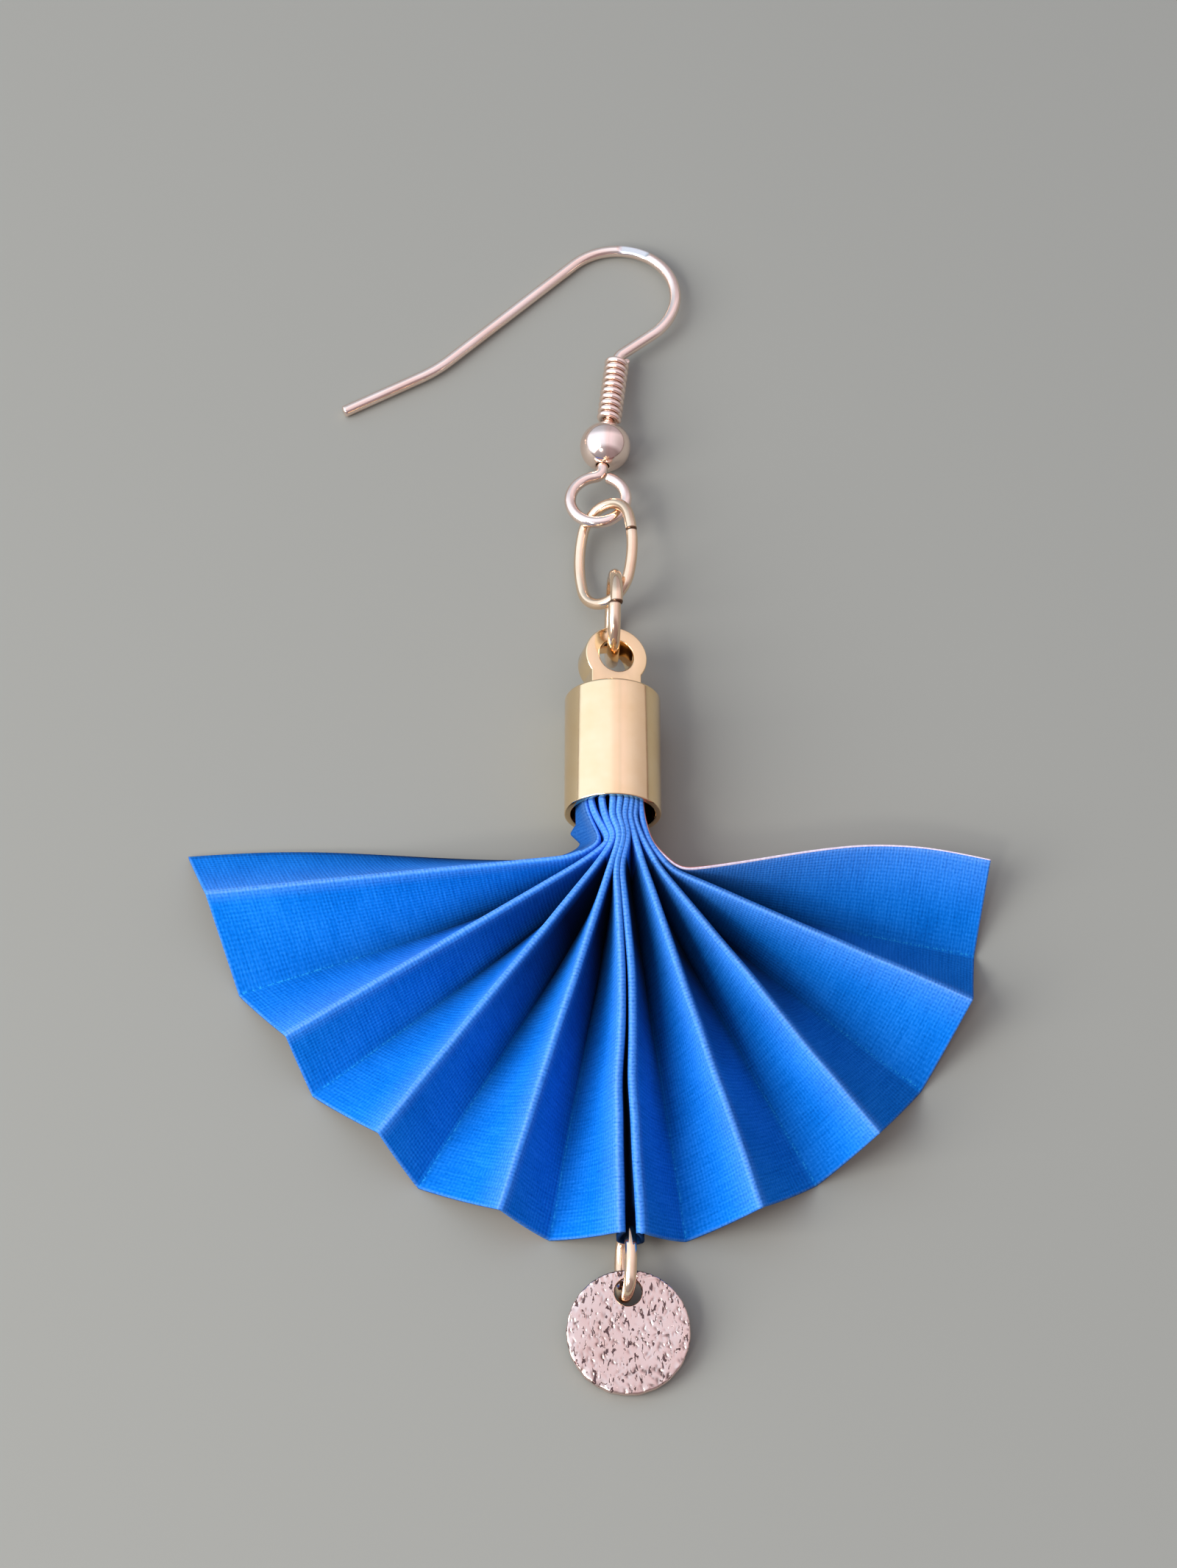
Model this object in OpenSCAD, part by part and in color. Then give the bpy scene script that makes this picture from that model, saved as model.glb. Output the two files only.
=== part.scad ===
// Fan earring: a pleated cloth fan gathered in a cord end, on a link and an ear wire, lying on its back.
// Millimetres. +Z is up from the surface that it lies on, and +Y runs from the fan to the ear wire.

/* [Ear wire] */
// Thickness of the ear wire
hook_wire = 0.68; // [0.5:0.02:0.9]
// Length of the shank, from the middle of the bead to the first bend
shank_len = 6.35; // [6.2:0.05:8]
// Turn of the first bend, out to the right
shank_turn = 46; // [35:1:55]
// Middle radius of the first bend
shank_bend_r = 0.8; // [0.6:0.1:1.5]
// Straight run from the first bend to the arch
cross_len = 2.25; // [2:0.05:4]
// Middle radius of the arch that goes through the ear
arch_r = 3.68; // [3:0.02:4.5]
// Turn of the arch, round to the left
arch_turn = 185.7; // [170:0.1:195]
// Straight run behind the ear
back_len = 10.2; // [9:0.1:14]
// Turn of the last bend, away from the ear
tail_turn = 15.5; // [8:0.5:25]
// Middle radius of the last bend
tail_bend_r = 8; // [4:0.5:10]
// Straight tail after the last bend
tail_len = 5; // [4.5:0.1:8]
// How far the ear wire is turned to the right of straight
hook_lay = 6.5; // [0:0.25:10]

/* [Ear wire loop, bead and coil] */
// Outer diameter of the loop at the foot of the ear wire
loop_d = 3.94; // [3.7:0.02:4.6]
// Distance from the middle of the bead to the middle of the loop
loop_drop = 3.83; // [3.75:0.02:4.6]
// Middle radius of the small bend from the shank into the loop
loop_bend_r = 0.5; // [0.4:0.05:0.7]
// Opening left between the loop's cut end and the shank
loop_cut = 0.12; // [0.05:0.01:0.3]
// Diameter of the bead
bead_d = 3; // [2.6:0.1:3.4]
// Thickness of the wire wound round the shank
coil_wire = 0.36; // [0.3:0.02:0.44]
// Number of turns wound round the shank
coil_turns = 10; // [6:1:10]
// Open space between two turns of the coil
coil_space = 0.09; // [0.03:0.01:0.1]

/* [Links] */
// Outer diameter of the round ring in the cord end's eye
ring_d = 5.7; // [5.5:0.1:6.4]
// Thickness of the ring's wire
ring_wire = 0.72; // [0.6:0.02:0.8]
// Lean of the ring, its top to the right
ring_lean = 3; // [0:1:8]
// Outer length of the oval link
link_len = 7.15; // [7.1:0.05:8.5]
// Outer width of the oval link
link_w = 4.6; // [4.5:0.05:5]
// Thickness of the oval link's wire
link_wire = 0.65; // [0.5:0.05:0.7]
// Roll of the oval link, its right side up
link_roll = 39.5; // [36:0.5:42]
// Rise of the oval link's far end
link_rise = 0; // [0:1:3]
// Width of the cut in each ring and link
wire_cut = 0.08; // [0.04:0.02:0.2]

/* [Cord end] */
// Outer diameter of the cord end
cap_d = 5.4; // [5:0.1:5.6]
// Length of the cord end
cap_len = 7.24; // [6:0.1:9]
// Thickness of the cord end's wall
cap_wall = 0.35; // [0.25:0.05:0.5]
// Thickness of the cord end's closed end
cap_floor = 0.5; // [0.4:0.05:0.8]
// Thickness of the eye plate
eye_t = 1.75; // [1.4:0.05:1.8]
// Diameter of the eye plate's round head
eye_d = 3.6; // [3.4:0.1:4.2]
// Width of the eye plate where it leaves the cord end
eye_root_w = 2.9; // [2.4:0.1:3.4]
// Diameter of the hole in the eye plate
eye_hole_d = 2; // [1.9:0.05:2.4]
// Distance from the cord end's closed end to the middle of the hole
eye_reach = 2.4; // [2.2:0.05:3]
// Roll of the eye plate, its left side up
eye_roll = 16; // [8:1:20]

/* [Fan] */
// Length of a fold that is given the share 1, from the waist to the rim
fan_reach = 22; // [18:0.5:26]
// Height of a fold that is given the share 1, at the rim
fold_h = 3; // [2.6:0.1:4]
// Thickness of the cloth and its stiffening
cloth_wall = 1.2; // [1:0.1:1.4]
// Width of the gathered neck inside the cord end
neck_w = 4.1; // [3.6:0.1:4.2]
// Height of the gathered neck
neck_h = 4.2; // [3.8:0.1:4.3]
// Width of the waist, where the folds begin to open
waist_w = 3.35; // [3:0.05:3.8]
// Distance from the cord end's mouth to the waist
waist_out = 3; // [2.2:0.1:3.4]
// Distance from the cord end's mouth to the point that the folds' bearings and reaches are taken from
hub_out = 2.3; // [1.8:0.1:3]
// Sideways shift of the waist
waist_shift = 0.3; // [0:0.05:0.5]
// How far the neck goes up inside the cord end
neck_in = 6; // [4:0.1:6.5]
// Least depth of the grooves between the gathered folds
groove = 0.25; // [0.15:0.05:0.35]
// Height of the underside of the middle fold over the charm's ring
bridge_h = 0.78; // [0.74:0.02:0.9]
// Thickness of the middle fold where the charm's ring goes through
bridge_t = 0.9; // [0.8:0.05:1.1]

/* [Charm] */
// Outer length of the charm's ring
charm_ring_len = 4.3; // [4.2:0.1:5]
// Outer height of the charm's ring
charm_ring_h = 3.2; // [3.1:0.05:3.6]
// Thickness of the charm's ring wire
charm_ring_wire = 0.65; // [0.5:0.05:0.7]
// Lean of the charm's ring, its top to the right
charm_ring_lean = 12; // [6:1:16]
// Diameter of the disc
disc_d = 6.5; // [5.5:0.1:7.5]
// Thickness of the disc
disc_t = 0.8; // [0.6:0.05:0.9]
// Diameter of the hole in the disc
disc_hole_d = 1.42; // [1.36:0.02:1.6]
// Metal left between the disc's hole and its edge
disc_margin = 0.47; // [0.35:0.02:0.55]
// Deepest dent in the disc's face
dent_depth = 0.12; // [0.05:0.01:0.2]

/* [Hidden] */
$fn = 48;

// Clearances between pieces, and overlaps that make a cut or a join whole
gap = 0.05;
cloth_gap = 0.1;
past = 0.05;
inset = 0.004;
// Largest turn between two sections of a bent wire, in degrees
bend_step = 12;

// Folds of the fan from left to right. Columns: bearing of the fold in degrees from straight out,
// reach as a share of fan_reach, kind (1 a ridge, 0 a valley), height at the rim as a share of fold_h,
// and bow towards the ear wire as a share of fan_reach
BEARING = 0;
REACH = 1;
RIDGE = 2;
HEIGHT = 3;
BOW = 4;
FOLDS = [
    [-92.0, 1.09, 0, 0.00, 0.03],
    [-84.0, 1.03, 1, 0.80, 0.00],
    [-70.3, 1.00, 0, 0.00, 0.00],
    [-59.0, 0.95, 1, 0.80, 0.00],
    [-51.1, 0.96, 0, 0.00, 0.00],
    [-37.8, 0.95, 1, 0.90, 0.00],
    [-29.9, 0.97, 0, 0.00, 0.00],
    [-16.8, 0.99, 1, 1.00, 0.00],
    [-9.7, 0.99, 0, 0.00, 0.00],
    [-0.8, 1.01, 1, 1.10, 0.00],
    [0.5, 1.02, 0, 0.26, 0.00],
    [1.9, 1.02, 0, 0.26, 0.00],
    [3.2, 1.01, 1, 1.13, 0.00],
    [9.4, 0.99, 0, 0.00, 0.00],
    [19.8, 1.00, 1, 1.00, 0.00],
    [29.8, 0.97, 0, 0.00, 0.00],
    [39.8, 0.98, 1, 0.95, 0.00],
    [51.5, 0.95, 0, 0.00, 0.00],
    [65.3, 0.96, 1, 0.87, 0.00],
    [75.4, 0.92, 0, 0.00, 0.00],
    [89.3, 0.94, 1, 0.73, 0.03],
];
// The two valley lines of the middle fold
MID = [10, 11];
// Stations along a fold past the waist, as shares of its length
SHARES = [0.08, 0.2, 0.4, 0.7, 1];
// Steepness of the valleys' fall from the neck to the surface
fall = 2;
// Power that moves the top of a fold's bow towards the rim
bow_late = 1.4;
// Share of the neck's half width at which its outermost fold lies
neck_side = 0.92;

// Dents in the disc's face. Columns: direction in degrees, distance from the middle as a share of the
// disc's radius, width as a share of disc_d, depth as a share of dent_depth
DENT_TURN = 0;
DENT_OUT = 1;
DENT_WIDTH = 2;
DENT_DEPTH = 3;
DENTS = [
    [20, 0.30, 0.20, 1.0], [75, 0.22, 0.12, 0.7], [130, 0.52, 0.18, 1.0], [165, 0.15, 0.10, 0.6],
    [200, 0.48, 0.22, 1.0], [238, 0.74, 0.14, 0.8], [262, 0.40, 0.16, 0.9], [292, 0.68, 0.20, 1.0],
    [330, 0.45, 0.14, 0.7], [345, 0.78, 0.16, 0.9], [40, 0.66, 0.14, 0.8], [180, 0.80, 0.12, 0.7],
];

// Places of the pieces, each worked out from the one before it. A side is how far the middle of a piece lies
// to the right of the one before it, and a hold how far a link's wire goes on past the wire that it is round.
ring_side = 0.05;
link_side = -0.41;
loop_side = -0.43;
link_z = 2.06;
ring_hold = 0.3;
loop_hold = 0.39;
eye_clear = 0.18;
charm_side = -0.12;
charm_margin = 0.62;
disc_hold = 0.34;
disc_rise = 0.45;
ring_cut_turn = 125;
link_cut_share = 0.125;
charm_cut_share = -0.083;
// Radius of an oval's ends as a share of its width
oval_end = 0.45;

cap_z = cap_d / 2;
eye_y = cap_len + eye_reach;
ring_mid_r = (ring_d - ring_wire) / 2;
// The ring's curved wire is straightest in the middle of the eye plate and nearest the hole's wall at its faces
ring_rise = ring_mid_r - sqrt(pow(ring_mid_r, 2) - pow(eye_t / 2, 2));
ring_slope = asin(eye_t / 2 / ring_mid_r);
ring_in_eye = eye_hole_d / 2 - ring_wire / 2 / cos(ring_slope) - ring_rise - eye_clear;
ring_c = [ring_side, eye_y + ring_in_eye + ring_mid_r, ring_d / 2];

link_mid_len = link_len - link_wire;
link_mid_w = link_w - link_wire;
// Distances along the chain by which the link's two ends pass the wires that they hold
link_in_ring = (link_wire + ring_wire) / 2 + ring_hold;
link_in_loop = (link_wire + hook_wire) / 2 + loop_hold;
link_c = [ring_c[0] + link_side, ring_c[1] + ring_mid_r - link_in_ring + link_mid_len / 2, link_z];

loop_mid_r = (loop_d - hook_wire) / 2;
loop_y = link_c[1] + link_mid_len / 2 - link_in_loop + loop_mid_r;
bead_c = [link_c[0] + loop_side + loop_drop * sin(hook_lay), loop_y + loop_drop * cos(hook_lay), bead_d / 2];

// Runs and bends of the ear wire from the middle of the bead. Columns: straight run, turn to the left
// in degrees, middle radius of the bend
RUN = 0;
TURN = 1;
BEND = 2;
HOOK_PATH = [
    [shank_len, -shank_turn, shank_bend_r],
    [cross_len, arch_turn, arch_r],
    [back_len, -tail_turn, tail_bend_r],
    [tail_len, 0, 0],
];
loop_reach = sqrt(pow(loop_mid_r + loop_bend_r, 2) - pow(loop_bend_r, 2));
loop_lead = atan2(loop_bend_r, loop_reach);
loop_end = (hook_wire / 2 + loop_cut) / loop_mid_r * 180 / PI;
LOOP_PATH = [
    [loop_drop - loop_reach, -(90 - loop_lead), loop_bend_r],
    [0, 360 - loop_lead - loop_end, loop_mid_r],
];

// A pose along the ear wire is x, y and heading in degrees to the left of +Y
function run_on(p, d) = [p[0] - d * sin(p[2]), p[1] + d * cos(p[2]), p[2]];
function bend_centre(p, row) =
    let (side = row[TURN] < 0 ? 1 : -1)
    [p[0] + side * row[BEND] * cos(p[2]), p[1] + side * row[BEND] * sin(p[2])];
function bend_on(p, row) =
    let (c = bend_centre(p, row), side = row[TURN] < 0 ? 1 : -1, h = p[2] + row[TURN])
    [c[0] - side * row[BEND] * cos(h), c[1] - side * row[BEND] * sin(h), h];
// Poses at the ends of each run and along each bend, without the first one
function wire_poses(rows) = [
    for (i = [0:len(rows) - 1])
        let (q = run_on(pose_after(rows, i), rows[i][RUN]), steps = ceil(abs(rows[i][TURN]) / bend_step))
            each concat(
                rows[i][RUN] > 0 ? [q] : [],
                [for (k = [1:steps]) bend_on(q, [0, rows[i][TURN] * k / steps, rows[i][BEND]])])
];
function spun(p, turn) =
    [p[0] * cos(turn) - p[1] * sin(turn), p[0] * sin(turn) + p[1] * cos(turn), p[2] + turn];
function pose_after(rows, n) =
    n == 0 ? [0, 0, 0] : bend_on(run_on(pose_after(rows, n - 1), rows[n - 1][RUN]), rows[n - 1]);

// The ear wire lies on three points: the bead, the arch's far side and the tail's tip. The last two lie
// on one line in the wire's own plane, which is tipped about a line beside it through the bead.
tip = pose_after(HOOK_PATH, len(HOOK_PATH));
arch_c = bend_centre(run_on(pose_after(HOOK_PATH, 1), cross_len), HOOK_PATH[1]);
to_arch = [arch_c[0] - tip[0], arch_c[1] - tip[1]];
foot_turn = atan2(to_arch[1], to_arch[0]) + asin(arch_r / norm(to_arch));
foot_line = [cos(foot_turn), sin(foot_turn), 0];
foot_away = tip[1] * cos(foot_turn) - tip[0] * sin(foot_turn);
hook_tip = asin((bead_d - hook_wire) / 2 / foot_away);

coil_from = bead_d / 2 + coil_wire + gap;
coil_pitch = coil_wire + coil_space;
coil_mid_r = (hook_wire + coil_wire) / 2 + gap;

charm_mid_len = charm_ring_len - charm_ring_wire;
charm_mid_h = charm_ring_h - charm_ring_wire;

// Fan: each fold runs from its own point at the waist to its own end at the rim, which is found from the hub
hub = [0.25, -hub_out];
fold_n = len(FOLDS);
neck_z = cap_z;
function across(i) = 2 * i / (fold_n - 1) - 1;
function rim_point(i) =
    hub + FOLDS[i][REACH] * fan_reach * [sin(FOLDS[i][BEARING]), -cos(FOLDS[i][BEARING])];
function waist_point(i) = [waist_shift + across(i) * waist_w / 2, -waist_out];
function bowed(i, t) = [0, FOLDS[i][BOW] * fan_reach * sin(180 * pow(t, bow_late))];
function section_h(i) = neck_h / 2 * sqrt(1 - pow(neck_side * across(i), 2));

// Stations: deep in the cord end, at its mouth, at the waist, then along the folds
STATIONS = concat([-2, -1, 0], SHARES);
function plan(i, t) =
    t == -2 ? [across(i) * neck_w / 2, neck_in]
    : t == -1 ? [across(i) * neck_w / 2, 0]
    : waist_point(i) + t * (rim_point(i) - waist_point(i)) + bowed(i, t);
function ridge_z(i, t) =
    let (s = max(t, 0), top = neck_z + section_h(i))
    top + s * (FOLDS[i][HEIGHT] * fold_h - top);
function valley_z(i, t) =
    let (s = max(t, 0), low = neck_z - section_h(i), rim = FOLDS[i][HEIGHT] * fold_h)
    rim + pow(1 - s, fall) * (low - rim);
function drawn_z(i, t) = FOLDS[i][RIDGE] == 1 ? ridge_z(i, t) : valley_z(i, t);
function slope(i, k, t) = abs(drawn_z(i, t) - drawn_z(k, t)) / max(norm(plan(i, t) - plan(k, t)), 0.01);
function beside(i) = [for (k = [i - 1, i + 1]) if (k >= 0 && k < fold_n) k];
function ridges_beside(i) = [for (k = beside(i)) if (FOLDS[k][RIDGE] == 1) k];
function valleys_beside(i) = [for (k = beside(i)) if (FOLDS[k][RIDGE] == 0) k];
// The cloth's wall measured straight up, on the gentler of the panels beside a fold
function wall_up(i, t) = cloth_wall * sqrt(1 + pow(min([for (k = beside(i)) slope(i, k, t)]), 2));
function top_z(i, t) =
    FOLDS[i][RIDGE] == 1 ? drawn_z(i, t)
    : min(drawn_z(i, t) + wall_up(i, t), min([for (k = ridges_beside(i)) drawn_z(k, t)]) - groove);
function under_z(i, t) =
    FOLDS[i][RIDGE] == 0 ? drawn_z(i, t)
    : max(drawn_z(i, t) - wall_up(i, t), max([for (k = valleys_beside(i)) drawn_z(k, t)]) + groove);

rim_xs = [for (i = [0:fold_n - 1]) rim_point(i)[0]];
mid_rim = (rim_point(MID[0]) + rim_point(MID[1])) / 2;

// Charm: its ring goes through the middle fold a little in from the rim, and the disc hangs on its far end
charm_c = [
    mid_rim[0] + charm_side,
    mid_rim[1] + charm_margin + charm_ring_wire + cloth_gap - charm_ring_len / 2,
    charm_mid_h / 2 * cos(charm_ring_lean) + charm_ring_wire / 2,
];
disc_tip = asin((charm_ring_wire + disc_rise) / disc_d);
hole_out = disc_d / 2 - disc_margin - disc_hole_d / 2;
hole_y = charm_c[1] - charm_mid_len / 2 + disc_hold;
disc_c = [charm_c[0] - charm_side, hole_y - hole_out * cos(disc_tip), disc_d / 2 * sin(disc_tip)];

// The whole is moved so that the middle of its outline is over the origin
tilt_axis_y = cos(foot_turn - hook_lay);
arch_y_spread = sqrt(1 - pow(sin(hook_tip) * tilt_axis_y, 2));
foot_n = arch_c[1] * cos(foot_turn) - arch_c[0] * sin(foot_turn);
foot_s = arch_c[0] * cos(foot_turn) + arch_c[1] * sin(foot_turn);
arch_world_y = bead_c[1] + foot_s * sin(foot_turn - hook_lay) + foot_n * cos(hook_tip) * tilt_axis_y;
north = arch_world_y + arch_r * arch_y_spread + hook_wire / 2;
south = disc_c[1] - disc_d / 2 * cos(disc_tip) - disc_t * sin(disc_tip);
shift = [-(min(rim_xs) + max(rim_xs)) / 2, -(north + south) / 2, 0];

// Puts its children, drawn in the ear wire's own plane about the bead, where the wire lies
module on_hook() {
    translate(bead_c)
        rotate([0, 0, -hook_lay])
            rotate(a = -hook_tip, v = foot_line)
                children();
}

// A wire with flat ends swept along poses in the XY plane
module swept_wire(poses, wire) {
    sides = 12;
    n = len(poses) - 1;
    points = [
        for (p = poses)
            for (s = [0:sides - 1])
                let (a = 360 * s / sides, out = wire / 2 * cos(a))
                    [p[0] + out * cos(p[2]), p[1] + out * sin(p[2]), wire / 2 * sin(a)]
    ];
    skin = [
        for (k = [0:n - 1])
            for (s = [0:sides - 1])
                let (a = k * sides + s, b = k * sides + (s + 1) % sides)
                    each [[a, b, b + sides], [a, b + sides, a + sides]]
    ];
    near_end = [for (s = [0:sides - 1]) sides - 1 - s];
    far_end = [for (s = [0:sides - 1]) n * sides + s];
    polyhedron(points = points, faces = concat(skin, [near_end, far_end]));
}

// An oval wire of four arcs in the XY plane, its length along Y, cut through on its +X side at the
// given share of its length along Y
module wire_oval(length, width, wire, cut_share) {
    end_r = oval_end * width;
    a = length / 2 - end_r;
    side_r = (width * width / 4 + a * a - end_r * end_r) / (width - 2 * end_r);
    side_x = side_r - width / 2;
    half = atan2(a, side_x);
    cut_at = asin(cut_share * length / side_r);
    cut_half = wire_cut / 2 / side_r * 180 / PI;
    steps = 8;
    side_path = function (from, to, turn)
        [for (k = [0:steps]) let (h = from + (to - from) * k / steps)
            spun([side_r * cos(h) - side_x, side_r * sin(h), h], turn)];
    end_path = function (turn)
        [for (k = [1:steps - 1]) let (h = half + (180 - 2 * half) * k / steps)
            spun([end_r * cos(h), a + end_r * sin(h), h], turn)];
    swept_wire(
        concat(side_path(cut_at + cut_half, half, 0), end_path(0), side_path(-half, half, 180),
            end_path(180), side_path(-half, cut_at - cut_half, 0)),
        wire);
}

// One wire from the loop's cut end to the tail. Its tail is truly round, and holds the bent part's end.
module ear_hook() {
    loop_poses = wire_poses(LOOP_PATH);
    hold = hook_wire / 2;
    tail = pose_after(HOOK_PATH, len(HOOK_PATH) - 1);
    color("rosybrown")
        on_hook() {
            swept_wire(
                concat(
                    [for (k = [len(loop_poses) - 1:-1:0]) [-loop_poses[k][0], -loop_poses[k][1], loop_poses[k][2]]],
                    wire_poses([for (k = [0:len(HOOK_PATH) - 2]) HOOK_PATH[k]]),
                    [run_on(tail, hold)]),
                hook_wire - 2 * inset);
            translate([tail[0], tail[1], 0])
                rotate([-90, 0, tail[2]]) {
                    cylinder(d = hook_wire, h = tail_len);
                    translate([0, 0, tail_len])
                        cylinder(d1 = hook_wire, d2 = hook_wire / 2, h = hook_wire / 4);
                }
        }
}

module hook_coil() {
    steps = 20;
    sides = 6;
    n = steps * coil_turns;
    points = [
        for (k = [0:n])
            let (turn = 360 * k / steps, up = coil_from + coil_pitch * k / steps)
                for (s = [0:sides - 1])
                    let (a = 360 * s / sides, r = coil_mid_r + coil_wire / 2 * cos(a))
                        [r * cos(turn), up + coil_wire / 2 * sin(a), r * sin(turn)]
    ];
    skin = [
        for (k = [0:n - 1])
            for (s = [0:sides - 1])
                let (a = k * sides + s, b = k * sides + (s + 1) % sides)
                    each [[a, b + sides, b], [a, a + sides, b + sides]]
    ];
    near_end = [for (s = [0:sides - 1]) s];
    far_end = [for (s = [0:sides - 1]) n * sides + sides - 1 - s];
    color("tan")
        on_hook()
            polyhedron(points = points, faces = concat(skin, [near_end, far_end]));
}

module hook_bead() {
    color("rosybrown")
        on_hook()
            difference() {
                sphere(d = bead_d);
                rotate([90, 0, 0])
                    cylinder(d = hook_wire + 2 * gap, h = bead_d + 2 * past, center = true);
            }
}

module oval_link() {
    color("tan")
        translate(link_c)
            rotate([link_rise, 0, 0])
                rotate([0, -link_roll, 0])
                    wire_oval(link_mid_len, link_mid_w, link_wire, link_cut_share);
}

module cap_ring() {
    color("tan")
        translate(ring_c)
            rotate([0, ring_lean, 0])
                rotate([0, 90, 0])
                    difference() {
                        rotate_extrude()
                            translate([ring_mid_r, 0])
                                circle(d = ring_wire);
                        rotate([0, 0, ring_cut_turn])
                            translate([ring_mid_r, 0, 0])
                                cube([2 * ring_wire, wire_cut, 2 * ring_wire], center = true);
                    }
}

module eye_plate() {
    translate([0, cap_len, 0])
        rotate([0, eye_roll, 0]) {
            translate([0, eye_reach, 0])
                cylinder(d = eye_d, h = eye_t, center = true);
            translate([-eye_root_w / 2, -cap_floor / 2, -eye_t / 2])
                cube([eye_root_w, eye_reach + cap_floor / 2, eye_t]);
        }
}

module end_cap() {
    color("darkkhaki")
        translate([0, 0, cap_z])
            difference() {
                union() {
                    rotate([-90, 0, 0])
                        cylinder(d = cap_d, h = cap_len);
                    eye_plate();
                }
                translate([0, -past, 0])
                    rotate([-90, 0, 0])
                        cylinder(d = cap_d - 2 * cap_wall, h = cap_len - cap_floor + past);
                translate([0, cap_len, 0])
                    rotate([0, eye_roll, 0])
                        translate([0, eye_reach, 0])
                            cylinder(d = eye_hole_d, h = eye_t + 2 * past, center = true);
            }
}

// The pleated strip: a grid of folds and stations on top, the same grid underneath, and walls between
module pleats() {
    rows = len(STATIONS);
    top = [for (i = [0:fold_n - 1]) for (t = STATIONS) concat(plan(i, t), [top_z(i, t)])];
    under = [for (i = [0:fold_n - 1]) for (t = STATIONS) concat(plan(i, t), [under_z(i, t)])];
    low = fold_n * rows;
    panels = [
        for (i = [0:fold_n - 2])
            for (j = [0:rows - 2])
                let (a = i * rows + j, b = a + 1, c = a + rows, d = c + 1)
                    each [[a, c, d], [a, d, b], [low + a, low + d, low + c], [low + a, low + b, low + d]]
    ];
    ends = [
        for (i = [0:fold_n - 2])
            for (e = [[i * rows, (i + 1) * rows], [(i + 2) * rows - 1, (i + 1) * rows - 1]])
                each [[e[0], low + e[0], low + e[1]], [e[0], low + e[1], e[1]]]
    ];
    sides = [
        for (j = [0:rows - 2])
            for (e = [[j + 1, j], [(fold_n - 1) * rows + j, (fold_n - 1) * rows + j + 1]])
                each [[e[0], low + e[0], low + e[1]], [e[0], low + e[1], e[1]]]
    ];
    polyhedron(points = concat(top, under), faces = concat(panels, ends, sides));
}

// Room for the charm's ring: a slot down to the middle fold, and a hole through it where the ring goes in
module charm_slot() {
    w = charm_ring_wire + 2 * cloth_gap;
    bridge_top = bridge_h + bridge_t;
    tall = 2 * fold_h;
    reach = charm_ring_len / 2 + cloth_gap;
    translate([charm_c[0], charm_c[1], charm_c[2]])
        rotate([0, charm_ring_lean, 0]) {
            translate([-w / 2, 0, bridge_top - charm_c[2]])
                cube([w, reach, tall]);
            translate([-w / 2, reach - charm_ring_wire - 2 * cloth_gap - charm_mid_h / 4, -tall / 2])
                cube([w, charm_ring_wire + 2 * cloth_gap + charm_mid_h / 4, tall]);
        }
}

module fan() {
    color("royalblue")
        difference() {
            pleats();
            charm_slot();
        }
}

module charm_ring() {
    color("tan")
        translate(charm_c)
            rotate([0, charm_ring_lean, 0])
                rotate([0, 90, 0])
                    wire_oval(charm_mid_len, charm_mid_h, charm_ring_wire, charm_cut_share);
}

module dents() {
    for (row = DENTS) {
        width = row[DENT_WIDTH] * disc_d;
        depth = row[DENT_DEPTH] * dent_depth;
        ball_r = (pow(width / 2, 2) + depth * depth) / (2 * depth);
        rotate([0, 0, row[DENT_TURN]])
            translate([row[DENT_OUT] * disc_d / 2, 0, disc_t + ball_r - depth])
                sphere(r = ball_r);
    }
}

module charm_disc() {
    color("tan")
        translate(disc_c)
            rotate([disc_tip, 0, 0])
                difference() {
                    cylinder(d = disc_d, h = disc_t);
                    translate([0, hole_out, -past])
                        cylinder(d = disc_hole_d, h = disc_t + 2 * past);
                    dents();
                }
}

translate(shift) ear_hook();
translate(shift) hook_coil();
translate(shift) hook_bead();
translate(shift) oval_link();
translate(shift) cap_ring();
translate(shift) end_cap();
translate(shift) fan();
translate(shift) charm_ring();
translate(shift) charm_disc();
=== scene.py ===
# %% [markdown]
# A pleated fan earring, dressed for its portrait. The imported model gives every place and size: this script
# only gives each piece its true surface and finish. Everything is in metres, so a millimetre has a name.

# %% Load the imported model
import math

import bpy
import numpy as np
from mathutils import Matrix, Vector


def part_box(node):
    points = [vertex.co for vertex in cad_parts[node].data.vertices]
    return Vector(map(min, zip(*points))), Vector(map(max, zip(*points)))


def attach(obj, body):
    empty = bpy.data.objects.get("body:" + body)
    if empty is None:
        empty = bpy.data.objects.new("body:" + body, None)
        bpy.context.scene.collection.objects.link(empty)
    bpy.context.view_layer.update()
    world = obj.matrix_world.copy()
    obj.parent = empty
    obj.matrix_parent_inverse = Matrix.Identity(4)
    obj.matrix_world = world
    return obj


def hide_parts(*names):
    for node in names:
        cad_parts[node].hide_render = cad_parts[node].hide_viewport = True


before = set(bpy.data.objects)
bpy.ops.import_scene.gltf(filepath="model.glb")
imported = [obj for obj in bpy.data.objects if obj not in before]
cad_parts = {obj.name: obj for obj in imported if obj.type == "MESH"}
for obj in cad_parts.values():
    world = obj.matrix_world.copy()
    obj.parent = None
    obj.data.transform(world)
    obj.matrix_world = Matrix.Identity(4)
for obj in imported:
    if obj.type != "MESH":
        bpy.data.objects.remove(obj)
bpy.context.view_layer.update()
MM = 0.001


# %% [markdown]
# A camera is easiest to set from numbers that were measured: the height of the photograph's view above the
# horizon, the lens, and the point on the table that the middle of the picture looks at. That point is
# given from the middle of the cord end's mouth, so the camera follows the earring if it is ever moved.

# %% The cord end's mouth, and the camera
cap_low, cap_high = (Vector(v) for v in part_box("end_cap"))
cap_r = (cap_high.z - cap_low.z) / 2
mouth = Vector(((cap_low.x + cap_high.x) / 2, cap_low.y, cap_r))

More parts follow.
